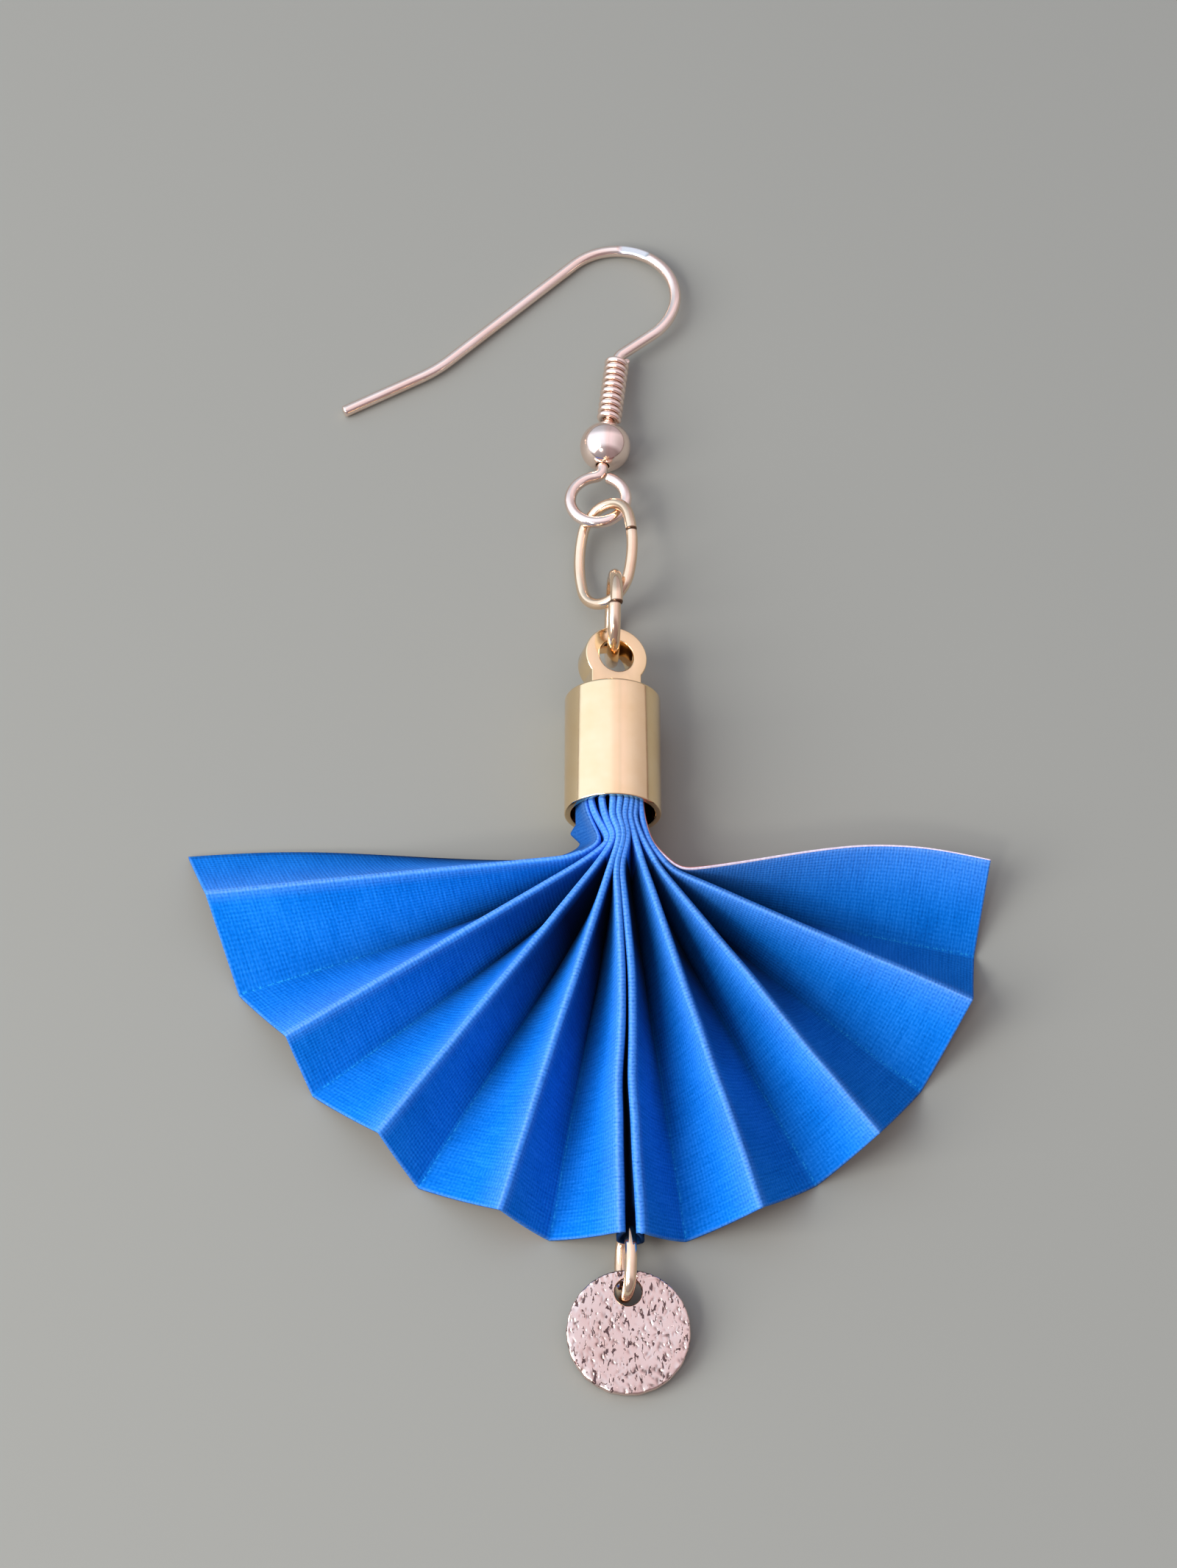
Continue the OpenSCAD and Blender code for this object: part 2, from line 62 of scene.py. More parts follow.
camera_rise = math.radians(63.5)
camera_away = 189.6 * MM
look_at = Vector((mouth.x - 1.35 * MM, mouth.y + 3.28 * MM, 0))

camera_data = bpy.data.cameras.new("camera")
camera_data.lens = 76.9
camera_data.sensor_width = 36
camera_data.clip_start = 0.001
camera = bpy.data.objects.new("camera", camera_data)
bpy.context.scene.collection.objects.link(camera)
back = Vector((0, -math.cos(camera_rise), math.sin(camera_rise)))
camera.location = look_at + back * camera_away
camera.rotation_euler = (math.pi / 2 - camera_rise, 0, 0)
bpy.context.scene.camera = camera
print("camera height in mm:", round(camera.location.z / MM, 1))


# %% [markdown]
# Finishes are small graphs of nodes. A few helpers add a node and join its inputs in one line, so each
# finish below reads as a recipe: a noise, a ramp of colours looked up by it, and a height that tilts the
# surface.

# %% Helpers for finishes
def join(tree, node, **inputs):
    """Sets inputs, each named with _ for a space, to a value or to another node's output."""
    for key, value in inputs.items():
        socket = node.inputs[key.replace("_", " ")]
        if isinstance(value, bpy.types.NodeSocket):
            tree.links.new(value, socket)
        elif socket.type == "RGBA":
            socket.default_value = (*value, 1)
        else:
            socket.default_value = value


def add_node(tree, kind, **inputs):
    """Adds a shader node with its inputs."""
    node = tree.nodes.new("ShaderNode" + kind)
    join(tree, node, **inputs)
    return node


def noise(tree, place, scale, detail, distortion=0.0):
    """A noise at place, as an output that stays mostly between 0.3 and 0.7."""
    node = add_node(tree, "TexNoise", Vector=place, Scale=scale, Detail=detail, Distortion=distortion)
    return node.outputs["Fac"]


def ramp(tree, share, stops):
    """Colours looked up by share, from a list of (place, colour)."""
    node = add_node(tree, "ValToRGB", Fac=share)
    known = node.color_ramp.elements
    known[0].position, known[1].position = stops[0][0], stops[-1][0]
    known[0].color, known[1].color = (*stops[0][1], 1), (*stops[-1][1], 1)
    for place, colour in stops[1:-1]:
        known.new(place).color = (*colour, 1)
    return node.outputs["Color"]


def mixed(tree, factor, a, b, blend="MIX"):
    """Colour a mixed with colour b by factor."""
    node = add_node(tree, "Mix")
    node.data_type, node.blend_type = "RGBA", blend
    join(tree, node, Factor=factor, A=a, B=b)
    return node.outputs["Result"]


def bumped(tree, height, strength, distance, **normal):
    """The surface's normal tilted by a height; distance is the height's reach in metres."""
    node = add_node(tree, "Bump", Strength=strength, Distance=distance, Height=height, **normal)
    return node.outputs["Normal"]


def point_value(tree, name):
    """A number that the mesh stores on its points."""
    node = add_node(tree, "Attribute")
    node.attribute_name = name
    return node.outputs["Fac"]


def node_material(name):
    """Returns a new material, its node tree and its Principled shader."""
    made = bpy.data.materials.new(name)
    made.use_nodes = True
    tree = made.node_tree
    return made, tree, tree.nodes["Principled BSDF"]


helpers = (join, add_node, noise, ramp, mixed, bumped, point_value, node_material)
print("helpers:", [helper.__name__ for helper in helpers])


# %% [markdown]
# The table is one large pale plane. Jewellery is lit for its reflections more than for its shadows: a
# polished wire shows a lamp as a bright line, so one broad soft lamp, like a window on the left, gives it a
# bright crown and makes every pleat's left side the bright side. A small lamp in front adds the sparkle,
# and a dim room fills the flanks.

# %% Table and lamps
def mesh_object(name, points, faces):
    """Makes an object at the origin from lists of points and faces."""
    mesh = bpy.data.meshes.new(name)
    mesh.from_pydata(points, [], faces)
    mesh.update()
    made = bpy.data.objects.new(name, mesh)
    bpy.context.scene.collection.objects.link(made)
    return made


table_half = 2.5
corners = [(-1, -1), (1, -1), (1, 1), (-1, 1)]
table = mesh_object("table", [(x * table_half, y * table_half, 0) for x, y in corners], [(0, 1, 2, 3)])
table_paint, table_tree, table_shader = node_material("pale table")
join(table_tree, table_shader, Base_Color=(0.255, 0.25, 0.215), Roughness=0.75)
table.data.materials.append(table_paint)


def soft_lamp(name, place, width, length, power, colour):
    """Adds a rectangular lamp at place, turned to the origin, in metres and watts."""
    data = bpy.data.lights.new(name, "AREA")
    data.shape = "RECTANGLE"
    data.size, data.size_y = width, length
    data.energy, data.color = power, colour
    lamp = bpy.data.objects.new(name, data)
    lamp.location = place
    lamp.rotation_mode = "QUATERNION"
    lamp.rotation_quaternion = Vector(place).to_track_quat("Z", "Y")
    bpy.context.scene.collection.objects.link(lamp)
    return lamp


window = soft_lamp("window on the left", (-0.35, -0.13, 0.27), 0.28, 0.38, 2.45, (0.99, 0.99, 1.0))
sparkle = soft_lamp("small lamp in front", (-0.16, -0.30, 0.30), 0.06, 0.06, 0.35, (1.0, 0.98, 0.96))
print("metres to the lamps:", [round(lamp.location.length, 2) for lamp in (window, sparkle)])


# %% [markdown]
# Polished metal shows the whole room, so the room has a colour for each direction. Three ramps are looked
# up by the X, the Y and the Z of the view direction, and are multiplied: white on the left and lavender on
# the right, darker in front and behind, and brown below the horizon. The streaks on the right stand for a
# curtain.

# %% Room
ROOM_STRENGTH = 1.4
ROOM = {
    "X": [
        (0.0, (0.80, 0.92, 1.10)), (0.30, (0.78, 0.91, 1.12)), (0.44, (0.77, 0.87, 1.04)),
        (0.53, (0.74, 0.72, 0.83)), (0.58, (0.76, 0.70, 0.80)), (0.63, (0.66, 0.62, 0.71)),
        (0.68, (0.72, 0.66, 0.77)), (0.80, (0.62, 0.58, 0.66)), (1.0, (0.34, 0.31, 0.34)),
    ],
    "Y": [
        (0.0, (0.28, 0.24, 0.23)), (0.22, (0.38, 0.34, 0.33)), (0.36, (0.9, 0.9, 0.9)),
        (0.66, (1.0, 1.0, 1.0)), (0.78, (1.0, 1.0, 1.0)), (0.88, (0.55, 0.55, 0.55)),
        (1.0, (0.40, 0.40, 0.40)),
    ],
    "Z": [
        (0.0, (0.2, 0.15, 0.1)), (0.505, (0.30, 0.21, 0.15)), (0.54, (1.0, 1.0, 1.0)),
        (1.0, (1.0, 1.0, 1.0)),
    ],
}


def tinted_room():
    """A world whose colour is the product of three ramps, each looked up by one axis from -1 to 1."""
    room = bpy.data.worlds.new("tinted room")
    room.use_nodes = True
    tree = room.node_tree
    parts = add_node(tree, "SeparateXYZ", Vector=add_node(tree, "TexCoord").outputs["Generated"])
    colours = []
    for axis, stops in ROOM.items():
        share = add_node(tree, "MapRange", Value=parts.outputs[axis], From_Min=-1, From_Max=1)
        colours.append(ramp(tree, share.outputs["Result"], stops))
    across = mixed(tree, 1.0, colours[0], colours[1], "MULTIPLY")
    every_way = mixed(tree, 1.0, across, colours[2], "MULTIPLY")
    join(tree, tree.nodes["Background"], Color=every_way, Strength=ROOM_STRENGTH)
    return room


bpy.context.scene.world = tinted_room()
bpy.context.scene.view_settings.view_transform = "Standard"
print("room colours:", {axis: len(stops) for axis, stops in ROOM.items()})


# %% [markdown]
# Every new surface is a grid of points worked out as whole arrays. One helper turns a grid into a mesh: it
# joins each point to its neighbours and wraps round where a tube or a lathed form closes.

# %% Grid surfaces
def grid_faces(rows, columns, wrap_rows=False, wrap_columns=False):
    """Quads between neighbouring points of a grid, as an array of point numbers."""
    i = np.arange(rows if wrap_rows else rows - 1)
    j = np.arange(columns if wrap_columns else columns - 1)
    i, j = (a.ravel() for a in np.meshgrid(i, j, indexing="ij"))
    i2, j2 = (i + 1) % rows, (j + 1) % columns
    return np.stack([i * columns + j, i2 * columns + j, i2 * columns + j2, i * columns + j2], axis=1)


def build_mesh(name, points, quads, tris=()):
    """Makes an object from arrays: quads is (n, 4) and tris is (n, 3)."""
    loops = np.concatenate([quads.ravel(), np.asarray(tris, int).ravel()])
    sizes = np.repeat([4, 3], [len(quads), len(tris)])
    mesh = bpy.data.meshes.new(name)
    mesh.vertices.add(len(points))
    mesh.vertices.foreach_set("co", np.asarray(points, np.float32).ravel())
    mesh.loops.add(len(loops))
    mesh.loops.foreach_set("vertex_index", loops.astype(np.int32))
    mesh.polygons.add(len(sizes))
    starts = np.concatenate([[0], np.cumsum(sizes)[:-1]])
    mesh.polygons.foreach_set("loop_start", starts.astype(np.int32))
    mesh.polygons.foreach_set("loop_total", sizes.astype(np.int32))
    mesh.update(calc_edges=True)
    mesh.validate()
    mesh.polygons.foreach_set("use_smooth", np.full(len(mesh.polygons), True))
    made = bpy.data.objects.new(name, mesh)
    bpy.context.scene.collection.objects.link(made)
    return made


def point_numbers(piece, name, values):
    """Stores one number for each point of a mesh, for its finish to read."""
    layer = piece.data.attributes.new(name, "FLOAT", "POINT")
    layer.data.foreach_set("value", np.asarray(values, np.float32).ravel())


def unit(a):
    """Scales each vector of an array to length 1."""
    return a / np.maximum(np.linalg.norm(a, axis=-1, keepdims=True), 1e-12)


def turned(points, axis, degrees):
    """Turns a point or an array of points about an axis through the origin, by Rodrigues' formula."""
    points, k = np.asarray(points, float), unit(np.asarray(axis, float))
    a = math.radians(degrees)
    along = (points @ k)[..., None] * k
    return points * math.cos(a) + np.cross(k, points) * math.sin(a) + along * (1 - math.cos(a))


print("faces of a 3 by 4 grid:", len(grid_faces(3, 4)), "and wrapped:", len(grid_faces(3, 4, True, True)))


# %% [markdown]
# A wire is a circle swept along a path. Each section's first axis is a chosen direction made square to the
# path, and its second is the cross product of path and first, so the sections never twist by themselves.

# %% Wires
WIRE_SIDES = 28
BEVEL_ROWS = 4
BEVEL = 0.35


def wire_mesh(name, path, radius, up, sides=WIRE_SIDES, flat=None):
    """A round wire along an open path, with both ends filed round.

    A section is path + r s (cos a first + sin a second). Past each end, a few more sections shrink along a
    quarter circle. flat gives, for each point, the share of the radius at which the top is pressed flat."""
    path = np.asarray(path, float)
    tangent = unit(np.gradient(path, axis=0))
    up = np.broadcast_to(np.asarray(up, float), path.shape)
    first = unit(up - (up * tangent).sum(-1, keepdims=True) * tangent)
    second = np.cross(tangent, first)
    top = np.ones(len(path)) if flat is None else flat
    q = np.linspace(0, np.pi / 2, BEVEL_ROWS + 1)[1:]
    ahead = BEVEL * radius * np.sin(q)[:, None]
    shrink = 1 - BEVEL * (1 - np.cos(q))
    path = np.concatenate([path[:1] - ahead[::-1] * tangent[:1], path, path[-1:] + ahead * tangent[-1:]])
    scale = np.concatenate([shrink[::-1], np.ones(len(top)), shrink])
    first, second, top = (
        np.concatenate([v[:1].repeat(BEVEL_ROWS, 0), v, v[-1:].repeat(BEVEL_ROWS, 0)])
        for v in (first, second, top)
    )
    a = np.linspace(0, 2 * np.pi, sides, endpoint=False)
    rise = np.minimum(np.cos(a)[None], top[:, None])
    ring = rise[..., None] * first[:, None] + np.sin(a)[None, :, None] * second[:, None]
    points = (path[:, None] + radius * scale[:, None, None] * ring).reshape(-1, 3)
    rows = len(path)
    quads = grid_faces(rows, sides, wrap_columns=True)[:, ::-1]
    j, j2 = np.arange(sides), (np.arange(sides) + 1) % sides
    middle_point, last_row = np.full(sides, rows * sides), (rows - 1) * sides
    near = np.stack([middle_point, j2, j], axis=1)
    far = np.stack([middle_point + 1, last_row + j, last_row + j2], axis=1)
    made = build_mesh(name, np.concatenate([points, path[[0, -1]]]), quads, np.concatenate([near, far]))
    ends = np.zeros(rows * sides + 2)
    ends[:(BEVEL_ROWS + 1) * sides] = ends[(rows - BEVEL_ROWS - 1) * sides:] = 1
    point_numbers(made, "cut", ends)
    return made


print("a wire of 100 sections has", 100 * WIRE_SIDES, "faces before its ends")


# %% [markdown]
# Gold plating over brass is a mirror with a colour. What makes it look real at this size is not the colour
# but the small unevenness: plating has faint waves, handling leaves fine scratches, and crevices keep a
# little tarnish. One function makes every metal here, with its own colour, roughness and scratch direction.

# %% Plated metals
# Noise scales per metre, for scratches, waves and pits
SCRATCHES, WAVES, PITS = 9000, 420, 5200


def plated_metal(name, colour, dark, roughness, stretch=(1, 1, 1), scratch=0.12, wave=0.03, marked=None):
    """A Principled metal whose roughness and height come from noise in Object coordinates, in metres.

    stretch scales the noise, so that a small number draws it out along that axis into brushed lines. marked
    names a number on the mesh's points, with the colour that the metal has where that number is 1."""
    made, tree, shader = node_material(name)
    place = add_node(tree, "TexCoord").outputs["Object"]
    brushed = add_node(tree, "Mapping", Vector=place, Scale=stretch).outputs["Vector"]
    fine, broad = noise(tree, brushed, SCRATCHES, 4), noise(tree, place, WAVES, 3)
    tint = ramp(tree, broad, [(0.30, dark), (0.62, colour)])
    if marked:
        tint = mixed(tree, point_value(tree, marked[0]), tint, marked[1])
    rough = add_node(tree, "MapRange", Value=fine, To_Min=roughness * 0.7, To_Max=roughness * 1.5)
    scratches = bumped(tree, fine, scratch, 0.004 * MM)
    waves = bumped(tree, broad, 1.0, wave * MM, Normal=scratches)
    join(tree, shader, Metallic=1.0, Base_Color=tint, Roughness=rough.outputs["Result"], Normal=waves)
    return made


# The ear wire's metal turns near white on the flat of its arch: a painted highlight over the real flat.
hook_gold = plated_metal(
    "pale rose gold", (1.0, 0.80, 0.69), (0.95, 0.72, 0.60), 0.12, wave=0.012,
    marked=("facet", (1.0, 0.97, 0.94)),
)
link_gold = plated_metal(
    "rose gold", (0.98, 0.74, 0.52), (0.90, 0.62, 0.41), 0.13, wave=0.012,
    marked=("cut", (0.17, 0.09, 0.05)),
)
cap_gold = plated_metal(
    "yellow gold", (0.98, 0.74, 0.45), (0.93, 0.67, 0.37), 0.11, stretch=(1, 0.03, 1), scratch=0.25,
    wave=0.012,
)
disc_gold = plated_metal(
    "worn rose gold", (0.80, 0.60, 0.53), (0.75, 0.52, 0.445), 0.20, scratch=0.3, wave=0.01,
    marked=("pit", (0.12, 0.065, 0.055)),
)
print("metals:", [metal.name for metal in (hook_gold, link_gold, cap_gold, disc_gold)])


# %% [markdown]
# The disc's metal also has crevices that are too small for its mesh, so they are dark dents in the finish
# alone.

# %% Crevices in the disc's metal
def add_crevices(made):
    """Breaks a metal with small dark pits: the peaks of a noise drawn out along Y, 0.2 mm across."""
    tree = made.node_tree
    shader = tree.nodes["Principled BSDF"]
    colour, normal = (shader.inputs[key].links[0].from_socket for key in ("Base Color", "Normal"))
    place = add_node(tree, "TexCoord").outputs["Object"]
    lean = (0, 0, math.radians(-24))
    leaning = add_node(tree, "Mapping", Vector=place, Scale=(1.0, 0.42, 1.0), Rotation=lean)
    peaks = noise(tree, leaning.outputs["Vector"], PITS, 3, distortion=0.6)
    depth = add_node(tree, "MapRange", Value=peaks, From_Min=0.60, From_Max=0.635).outputs["Result"]
    tarnish = mixed(tree, depth, colour, (0.13, 0.075, 0.07))
    dent = add_node(tree, "Bump", Strength=1.0, Distance=0.03 * MM, Height=depth, Normal=normal)
    dent.invert = True
    join(tree, shader, Base_Color=tarnish, Normal=dent.outputs["Normal"])


add_crevices(disc_gold)
print("nodes in the disc's metal:", len(disc_gold.node_tree.nodes))


# %% [markdown]
# The ear wire is one wire bent five times. It is drawn flat first, as straight runs and bends, and then
# laid down: a wire that is lying on a table touches it at the bead, the far side of the arch and the tail's
# tip, so its plane is tipped until all three touch.

# %% Ear wire, drawn flat
hook_r = 0.34 * MM
bead_low, bead_high = (Vector(v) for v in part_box("hook_bead"))
bead_middle = (bead_low + bead_high) / 2
bead_r = (bead_high.x - bead_low.x) / 2
arch_r = 3.68 * MM
# How far the shank is turned clockwise on the table, in degrees
hook_lay = 6.5

# Straight run, turn to the left in degrees, middle radius of the bend
HOOK_RUNS = [
    (6.35 * MM, -46.0, 0.8 * MM),
    (2.25 * MM, 185.7, arch_r),
    (10.2 * MM, -15.5, 8.0 * MM),
    (5.0 * MM, 0.0, 0.0),
]
loop_mid_r = 1.63 * MM
loop_drop = 3.83 * MM
loop_bend_r = 0.5 * MM
loop_cut = 0.12 * MM
loop_reach = math.sqrt((loop_mid_r + loop_bend_r) ** 2 - loop_bend_r**2)
loop_lead = math.degrees(math.atan2(loop_bend_r, loop_reach))
loop_end = math.degrees((hook_r + loop_cut) / loop_mid_r)
LOOP_RUNS = [
    (loop_drop - loop_reach, -(90 - loop_lead), loop_bend_r),
    (0.0, 360 - loop_lead - loop_end, loop_mid_r),
]
print("straight wire in mm:", round(sum(run[0] for run in HOOK_RUNS + LOOP_RUNS) / MM, 2))


# %% [markdown]
# A heading and a place are carried along the runs, first up the shank from the bead and then down into the
# small loop.

# %% Path of the ear wire
def bent_path(runs, step=0.08 * MM):
    """Points along straight runs and bends from the origin towards +Y, and the middle of each bend.

    The heading h is measured to the left of +Y, so a run goes along (-sin h, cos h), and a bend to the left
    has its middle on (-cos h, -sin h)."""
    x, y, heading = 0.0, 0.0, 0.0
    points, middles = [np.zeros((1, 2))], []
    for run, turn, bend_r in runs:
        h = math.radians(heading)
        if run > 0:
            s = np.linspace(0, run, max(2, round(run / step)))[1:, None]
            points.append(np.array([x, y]) + s * np.array([-math.sin(h), math.cos(h)]))
            x, y = points[-1][-1]
        side = 1 if turn < 0 else -1
        middle = np.array([x + side * bend_r * math.cos(h), y + side * bend_r * math.sin(h)])
        middles.append(middle)
        if turn:
            count = max(4, round(math.radians(abs(turn)) * bend_r / step))
            a = np.radians(heading + np.linspace(0, turn, count)[1:])
            points.append(middle - side * bend_r * np.stack([np.cos(a), np.sin(a)], axis=1))
            x, y = points[-1][-1]
            heading += turn
    flat = np.concatenate(points)
    return np.column_stack([flat, np.zeros(len(flat))]), middles


hook_path, hook_middles = bent_path(HOOK_RUNS)
loop_path, _ = bent_path(LOOP_RUNS, 0.05 * MM)
loop_path = loop_path * [-1, -1, 1]
print("points on the shank's path:", len(hook_path), "on the loop's:", len(loop_path))


# %% [markdown]
# Beside the bead, the wire rests on its tail's tip and on the far side of the arch. The plane is tipped about
# a line through the bead that is parallel to the line through those two, and each of them comes down by the
# bead's radius less the wire's.

# %% Plane of the ear wire
tail_tip = hook_path[-1]
arch_middle = hook_middles[1]
to_arch = arch_middle - tail_tip[:2]
foot_turn = math.atan2(to_arch[1], to_arch[0]) + math.asin(arch_r / np.linalg.norm(to_arch))
foot_line = np.array([math.cos(foot_turn), math.sin(foot_turn), 0])
foot_away = tail_tip[1] * math.cos(foot_turn) - tail_tip[0] * math.sin(foot_turn)
hook_tip = math.degrees(math.asin((bead_r - hook_r) / foot_away))
print("the ear wire's plane is tipped by", round(hook_tip, 2), "degrees")


def tipped(directions):
    """Turns directions in the ear wire's own plane to where they point on the real wire."""
    return turned(turned(directions, foot_line, -hook_tip), (0, 0, 1), -hook_lay)


def laid(points):
    """Lays points of the ear wire's own plane down where the real wire lies."""
    return tipped(points) + np.array(bead_middle)


# %% [markdown]
# The top of the arch was pressed a little flat when the wire was formed, and the flat shines. The section
# is cut off there at 0.7 of its radius, and the points of the flat are marked, so that the metal there is
# painted near white: a painted highlight on top of the flat's own reflection.

# %% Ear wire, laid down
FLAT_HALF, FLAT_FADE, FLAT_DEPTH, FLAT_COSINE = 1.0 * MM, 0.15 * MM, 0.30, 0.62
FLAT_AT = (0.22, 0.97)
whole_path = np.concatenate([loop_path[::-1], hook_path[1:]])
facet_middle = np.array([*(arch_middle + np.array(FLAT_AT) * arch_r), 0])
facet_away = np.linalg.norm(whole_path - facet_middle, axis=1)
facet = np.clip((FLAT_HALF - facet_away) / FLAT_FADE, 0, 1)
hook = wire_mesh("ear_wire", laid(whole_path), hook_r, tipped((0, 0, 1)), flat=1 - FLAT_DEPTH * facet)
on_top = np.cos(np.linspace(0, 2 * np.pi, WIRE_SIDES, endpoint=False)) > FLAT_COSINE
painted_facet_highlight = np.zeros(len(hook.data.vertices))
first_point = BEVEL_ROWS * WIRE_SIDES
painted_facet_highlight[first_point:first_point + len(facet) * WIRE_SIDES] = (facet[:, None] * on_top).ravel()
point_numbers(hook, "facet", painted_facet_highlight)
hook.data.materials.append(hook_gold)
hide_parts("ear_hook")
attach(hook, "root")
print("ear wire faces:", len(hook.data.polygons))


# %% [markdown]
# The coil is a thin wire wound round the shank: a helix. Its section's first axis points away from the
# shank, which keeps the section from twisting as it climbs.

# %% Coil on the shank
coil_r = 0.18 * MM
coil_gap = 0.05 * MM
coil_pitch = 2 * coil_r + 0.09 * MM
coil_turns = 10
turn_points = 36
coil_from = bead_r + 2 * coil_r + coil_gap
coil_mid_r = hook_r + coil_r + coil_gap

turn = np.linspace(0, coil_turns, coil_turns * turn_points + 1)
angle = 2 * np.pi * turn
outwards = np.stack([np.cos(angle), np.zeros_like(angle), np.sin(angle)], axis=1)
helix = coil_mid_r * outwards + np.outer(coil_from + coil_pitch * turn, [0, 1, 0])
coil = wire_mesh("coil", laid(helix), coil_r, tipped(outwards), sides=16)
coil.data.materials.append(hook_gold)
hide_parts("hook_coil")
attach(coil, "root")
print("coil length in mm:", round(coil_pitch * coil_turns / MM, 2), "faces:", len(coil.data.polygons))


# %% [markdown]
# The bead is a lathed ball with a hole. Its outline runs from the hole's far edge round the outside to the
# near edge and back through the hole, and the edges of the hole are rounded as a drilled bead's are after
# tumbling.

# %% Bead
def lathe(outline, segments=96):
    """Turns a closed outline of (along, radius) pairs about the Y axis: (r cos a, along, r sin a)."""
    a = np.linspace(0, 2 * np.pi, segments, endpoint=False)
    along, r = outline[:, :1], outline[:, 1:]
    points = np.stack([r * np.cos(a), along + 0 * a, r * np.sin(a)], axis=-1)
    return points.reshape(-1, 3), grid_faces(len(outline), segments, wrap_rows=True, wrap_columns=True)


def arc(middle_x, middle_y, radius, start, end, count):
    """Points on an arc from start to end, in degrees: the middle plus radius (cos a, sin a)."""
    a = np.radians(np.linspace(start, end, count))
    return np.stack([middle_x + radius * np.cos(a), middle_y + radius * np.sin(a)], axis=1)


bead_hole_r = hook_r + 0.05 * MM
bead_edge = 0.07 * MM
hole_angle = math.degrees(math.asin((bead_hole_r + bead_edge) / bead_r))
outside = arc(0, 0, bead_r, hole_angle, 180 - hole_angle, 60)
hole_half = bead_r * math.cos(math.radians(hole_angle)) - bead_edge
bead_outline = np.concatenate([
    outside,
    arc(-hole_half, bead_hole_r + bead_edge, bead_edge, 180, 270, 5)[1:],
    arc(hole_half, bead_hole_r + bead_edge, bead_edge, 270, 360, 5)[:-1],
])
bead_points, bead_quads = lathe(bead_outline)
bead = build_mesh("bead", laid(bead_points), bead_quads[:, ::-1])
bead.data.materials.append(hook_gold)
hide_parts("hook_bead")
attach(bead, "root")
print("bead diameter in mm:", round(2 * bead_r / MM, 2), "hole:", round(2 * bead_hole_r / MM, 2))


# %% [markdown]
# Links and jump rings are bent from wire and cut through once, and the cut shows as a thin dark line. A
# torus stretched along one axis would have uneven wire, so an oval is four arcs: two wide ones for its sides
# and two tight ones for its ends. It is made open, so the cut is a real gap between two filed ends.

# %% Ovals of wire
def oval_path(length, width, cut_y, cut_width, step=0.05 * MM):
    """Points round an oval in the XY plane, starting and ending at a cut on its +X side.

    The ends have radius e. The sides have the radius that meets them smoothly: with a from the middle to an
    end's centre and w the half width, it is (w^2 + a^2 - e^2) / (2 (w - e))."""
    end_r = 0.45 * width
    a = length / 2 - end_r
    side_r = (width**2 / 4 + a**2 - end_r**2) / (width - 2 * end_r)
    side_x = side_r - width / 2
    half = math.degrees(math.atan2(a, side_x))
    cut = math.degrees(math.asin(cut_y / side_r))
    cut_half = math.degrees(cut_width / 2 / side_r)

    def piece(middle, radius, start, end):
        count = max(3, round(math.radians(end - start) * radius / step))
        return arc(*middle, radius, start, end, count)[1:]

    flat = np.concatenate([
        piece((-side_x, 0), side_r, cut + cut_half, half),
        piece((0, a), end_r, half, 180 - half),
        piece((side_x, 0), side_r, 180 - half, 180 + half),
        piece((0, -a), end_r, 180 + half, 360 - half),
        piece((-side_x, 0), side_r, -half, cut - cut_half),
    ])
    return np.column_stack([flat, np.zeros(len(flat))])


wire_cut = 0.12 * MM
link_len, link_w = 6.5 * MM, 3.95 * MM
flat_link = oval_path(link_len, link_w, link_len / 8, wire_cut)
print("wire in the oval link in mm:", round(np.linalg.norm(np.diff(flat_link, axis=0), axis=1).sum() / MM, 2))


# %% [markdown]
# The oval link joins the small loop to the round ring. It lies rolled on its side, because each wire link
# stands across the one before it.

# %% Oval link
def middle_of(node):
    """The middle of a node's box."""
    low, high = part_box(node)
    return (np.array(low) + np.array(high)) / 2


def finish_wire(piece, node, metal):
    """Gives a wire its metal, hides the part that it replaces and attaches it to the root body."""
    piece.data.materials.append(metal)
    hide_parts(node)
    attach(piece, "root")


link_r = 0.325 * MM
link_roll = 39.5
link_path = turned(flat_link, (0, 1, 0), -link_roll)
link_up = turned((0, 0, 1), (0, 1, 0), -link_roll)
oval_link = wire_mesh("oval_wire_link", link_path + middle_of("oval_link"), link_r, link_up)
finish_wire(oval_link, "oval_link", link_gold)
print("oval link faces:", len(oval_link.data.polygons))


# %% [markdown]
# The round ring stands upright through the cord end's eye. It is one arc, sprung a little sideways so that
# its two ends stand side by side, as a jump ring's do after closing.

# %% Round ring
ring_r = 0.36 * MM
ring_mid_r = 2.49 * MM
ring_lean = 3.0
ring_cut_at = 98.0
ring_cut_half = math.degrees(wire_cut / 2 / ring_mid_r)
flat_ring = arc(0, 0, ring_mid_r, ring_cut_at + ring_cut_half, ring_cut_at + 360 - ring_cut_half, 220)
sprung = np.linspace(-0.06, 0.06, len(flat_ring)) * MM
ring_path = turned(np.column_stack([sprung, flat_ring]), (0, 1, 0), ring_lean)
ring_up = turned((1, 0, 0), (0, 1, 0), ring_lean)
round_ring = wire_mesh("round_ring", ring_path + middle_of("cap_ring"), ring_r, ring_up)
finish_wire(round_ring, "cap_ring", link_gold)
print("round ring faces:", len(round_ring.data.polygons))


# %% [markdown]
# The charm's ring pierces the cloth at the middle fold. It is an oval again, turned upright and leaning with
# the fold.

